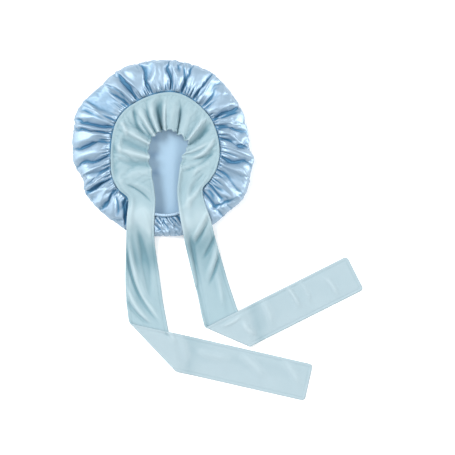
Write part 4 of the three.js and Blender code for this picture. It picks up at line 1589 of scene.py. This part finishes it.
@dataclass
class Casing:
    """The gathered satin casing of the elastic, along the nape.

    Attributes:
        begin: Clock angle of its left end.
        end: Clock angle of its right end.
        width: Width of the channel in mm.
        height: Height of the channel in mm.
        gathers: Gathers along it.
        lean: How far the gathers lean round it, in radians of their phase.
        stray: Sizes and rates of the sines by which their spacing strays.
        pinch: Share of its section that is missing between two gathers.
        power: Power of that, which keeps the gathers full and the grooves narrow.
        sides: Share of the width between two gathers, and what a gather adds to it.
        taper: Share of its length over which an end closes.
        lift: How far it lies over the rim, in mm.
        steps: Steps along it and round it.
        cloth: Length and width of its cloth in metres, for its grain.
        flat: Width and length of the sewn casing laid flat, in metres.
    """

    begin: float = 243.0
    end: float = 303.0
    width: float = 6.5
    height: float = 3.6
    gathers: int = 34
    lean: float = 0.9
    stray: tuple[Pair, Pair] = ((1.5, 9), (1, 31))
    pinch: float = 0.45
    power: float = 1.5
    sides: Pair = (0.7, 0.3)
    taper: float = 0.01
    lift: float = 0.9
    steps: tuple[int, int] = (420, 28)
    cloth: Pair = (0.3, 0.024)
    flat: Pair = (0.01, 0.13)

    def build(self) -> bpy.types.Object:
        """A flat oval tube along the seam, whose top and sides draw in between the gathers."""
        share = np.linspace(0, 1, self.steps[0])[:, None]
        side = np.linspace(0, 2 * math.pi, self.steps[1], endpoint=False)[None, :]
        angle = lerp(self.begin, self.end, share)
        seam = smooth_rows(np.array(SEAM_RADIUS, float), angle / PLAN_STEP, True)
        rim = smooth_rows(np.array(RIM_HEIGHT, float), angle / PLAN_STEP, True)
        phase = self.gathers * 2 * math.pi * share + self.lean * np.cos(side)
        for size, rate in self.stray:
            phase = phase + size * np.sin(rate * share)
        full = 1 - self.pinch * (1 - np.abs(np.sin(phase / 2))) ** self.power
        taper = np.sqrt(np.clip(np.minimum(share, 1 - share) / self.taper, 0, 1))
        least, more = self.sides
        radius = seam - self.width / 2 + self.width / 2 * np.cos(side) * (least + more * full) * taper
        z = rim + self.lift + self.height / 2 * (1 + np.sin(side) * full * taper)
        turn = np.radians(angle)
        points = np.stack([radius * np.cos(turn), radius * np.sin(turn), z], -1)
        uv = np.stack(np.broadcast_arrays(share * self.cloth[0], side / 2 / math.pi * self.cloth[1]), -1)
        piece = grid_mesh("elastic_casing", points, uv, closed=True)
        join_points(piece)
        piece.data.materials.append(SATIN_RIGHT.material())
        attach(piece, "root")
        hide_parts("nape_casing")
        return piece


@dataclass
class Studio:
    """The camera straight above, a pale floor and soft lights.

    Attributes:
        floor_side: Side of the floor in metres.
        world_strength: Strength of the light from all round.
    """

    floor_side: float = 6.0
    world_strength: float = 0.5

    def light(self, name: str, way: tuple[float, float, float], spread: float, power: float,
              gloss_only: bool = False) -> None:
        """A distant soft light.

        Args:
            name: Its name.
            way: The way to it from the bonnet.
            spread: How wide it looks from there, in degrees.
            power: Its strength.
            gloss_only: Whether it only shows as a gloss, as a low card beside the table does.
        """
        lamp = bpy.data.lights.new(name, "SUN")
        lamp.angle = math.radians(spread)
        lamp.energy = power
        holder = bpy.data.objects.new(name, lamp)
        bpy.context.scene.collection.objects.link(holder)
        holder.rotation_euler = Vector(way).to_track_quat("Z", "Y").to_euler()
        holder.visible_diffuse = not gloss_only

    def build(self) -> None:
        """Makes the camera, the floor, the lights and the background."""
        scene = bpy.context.scene
        lens = bpy.data.cameras.new("camera")
        lens.sensor_width = SENSOR
        lens.lens = SENSOR * CAMERA_HEIGHT / PICTURE_SIDE
        lens.clip_end = 100
        camera = bpy.data.objects.new("camera", lens)
        camera.location = (PICTURE_MIDDLE[0] * MM, PICTURE_MIDDLE[1] * MM, CAMERA_HEIGHT * MM)
        scene.collection.objects.link(camera)
        scene.camera = camera
        half = self.floor_side / 2
        mesh = bpy.data.meshes.new("floor")
        mesh.from_pydata([(-half, -half, 0), (half, -half, 0), (half, half, 0), (-half, half, 0)], [],
                         [(0, 1, 2, 3)])
        floor = bpy.data.objects.new("floor", mesh)
        scene.collection.objects.link(floor)
        mesh.materials.append(Floor().material())
        self.light("key", (-0.66, 0.42, 1.0), spread=24, power=2.2)
        self.light("fill", (0.7, -0.15, 1.0), spread=60, power=0.95)
        self.light("left_card", (-1.0, 0.15, 0.35), spread=45, power=1.3, gloss_only=True)
        self.light("right_card", (1.0, 0.1, 0.5), spread=45, power=3.4, gloss_only=True)
        world = bpy.data.worlds.new("studio")
        world.use_nodes = True
        background = world.node_tree.nodes["Background"]
        background.inputs["Color"].default_value = (1, 1, 1, 1)
        background.inputs["Strength"].default_value = self.world_strength
        scene.world = world
        scene.view_settings.view_transform = "Standard"


def main() -> None:
    """Builds the studio and each sub-assembly, and reports each piece."""
    logging.basicConfig(level=logging.INFO, format="%(name)s: %(message)s")
    Studio().build()
    band = TieBand()
    pieces = [band.build()]
    pieces.append(Crown().build(band.ceiling))
    pieces.append(Casing().build())
    for piece in pieces:
        LOG.info("%s: %d faces", piece.name, len(piece.data.polygons))


if __name__ == "__main__":
    main()
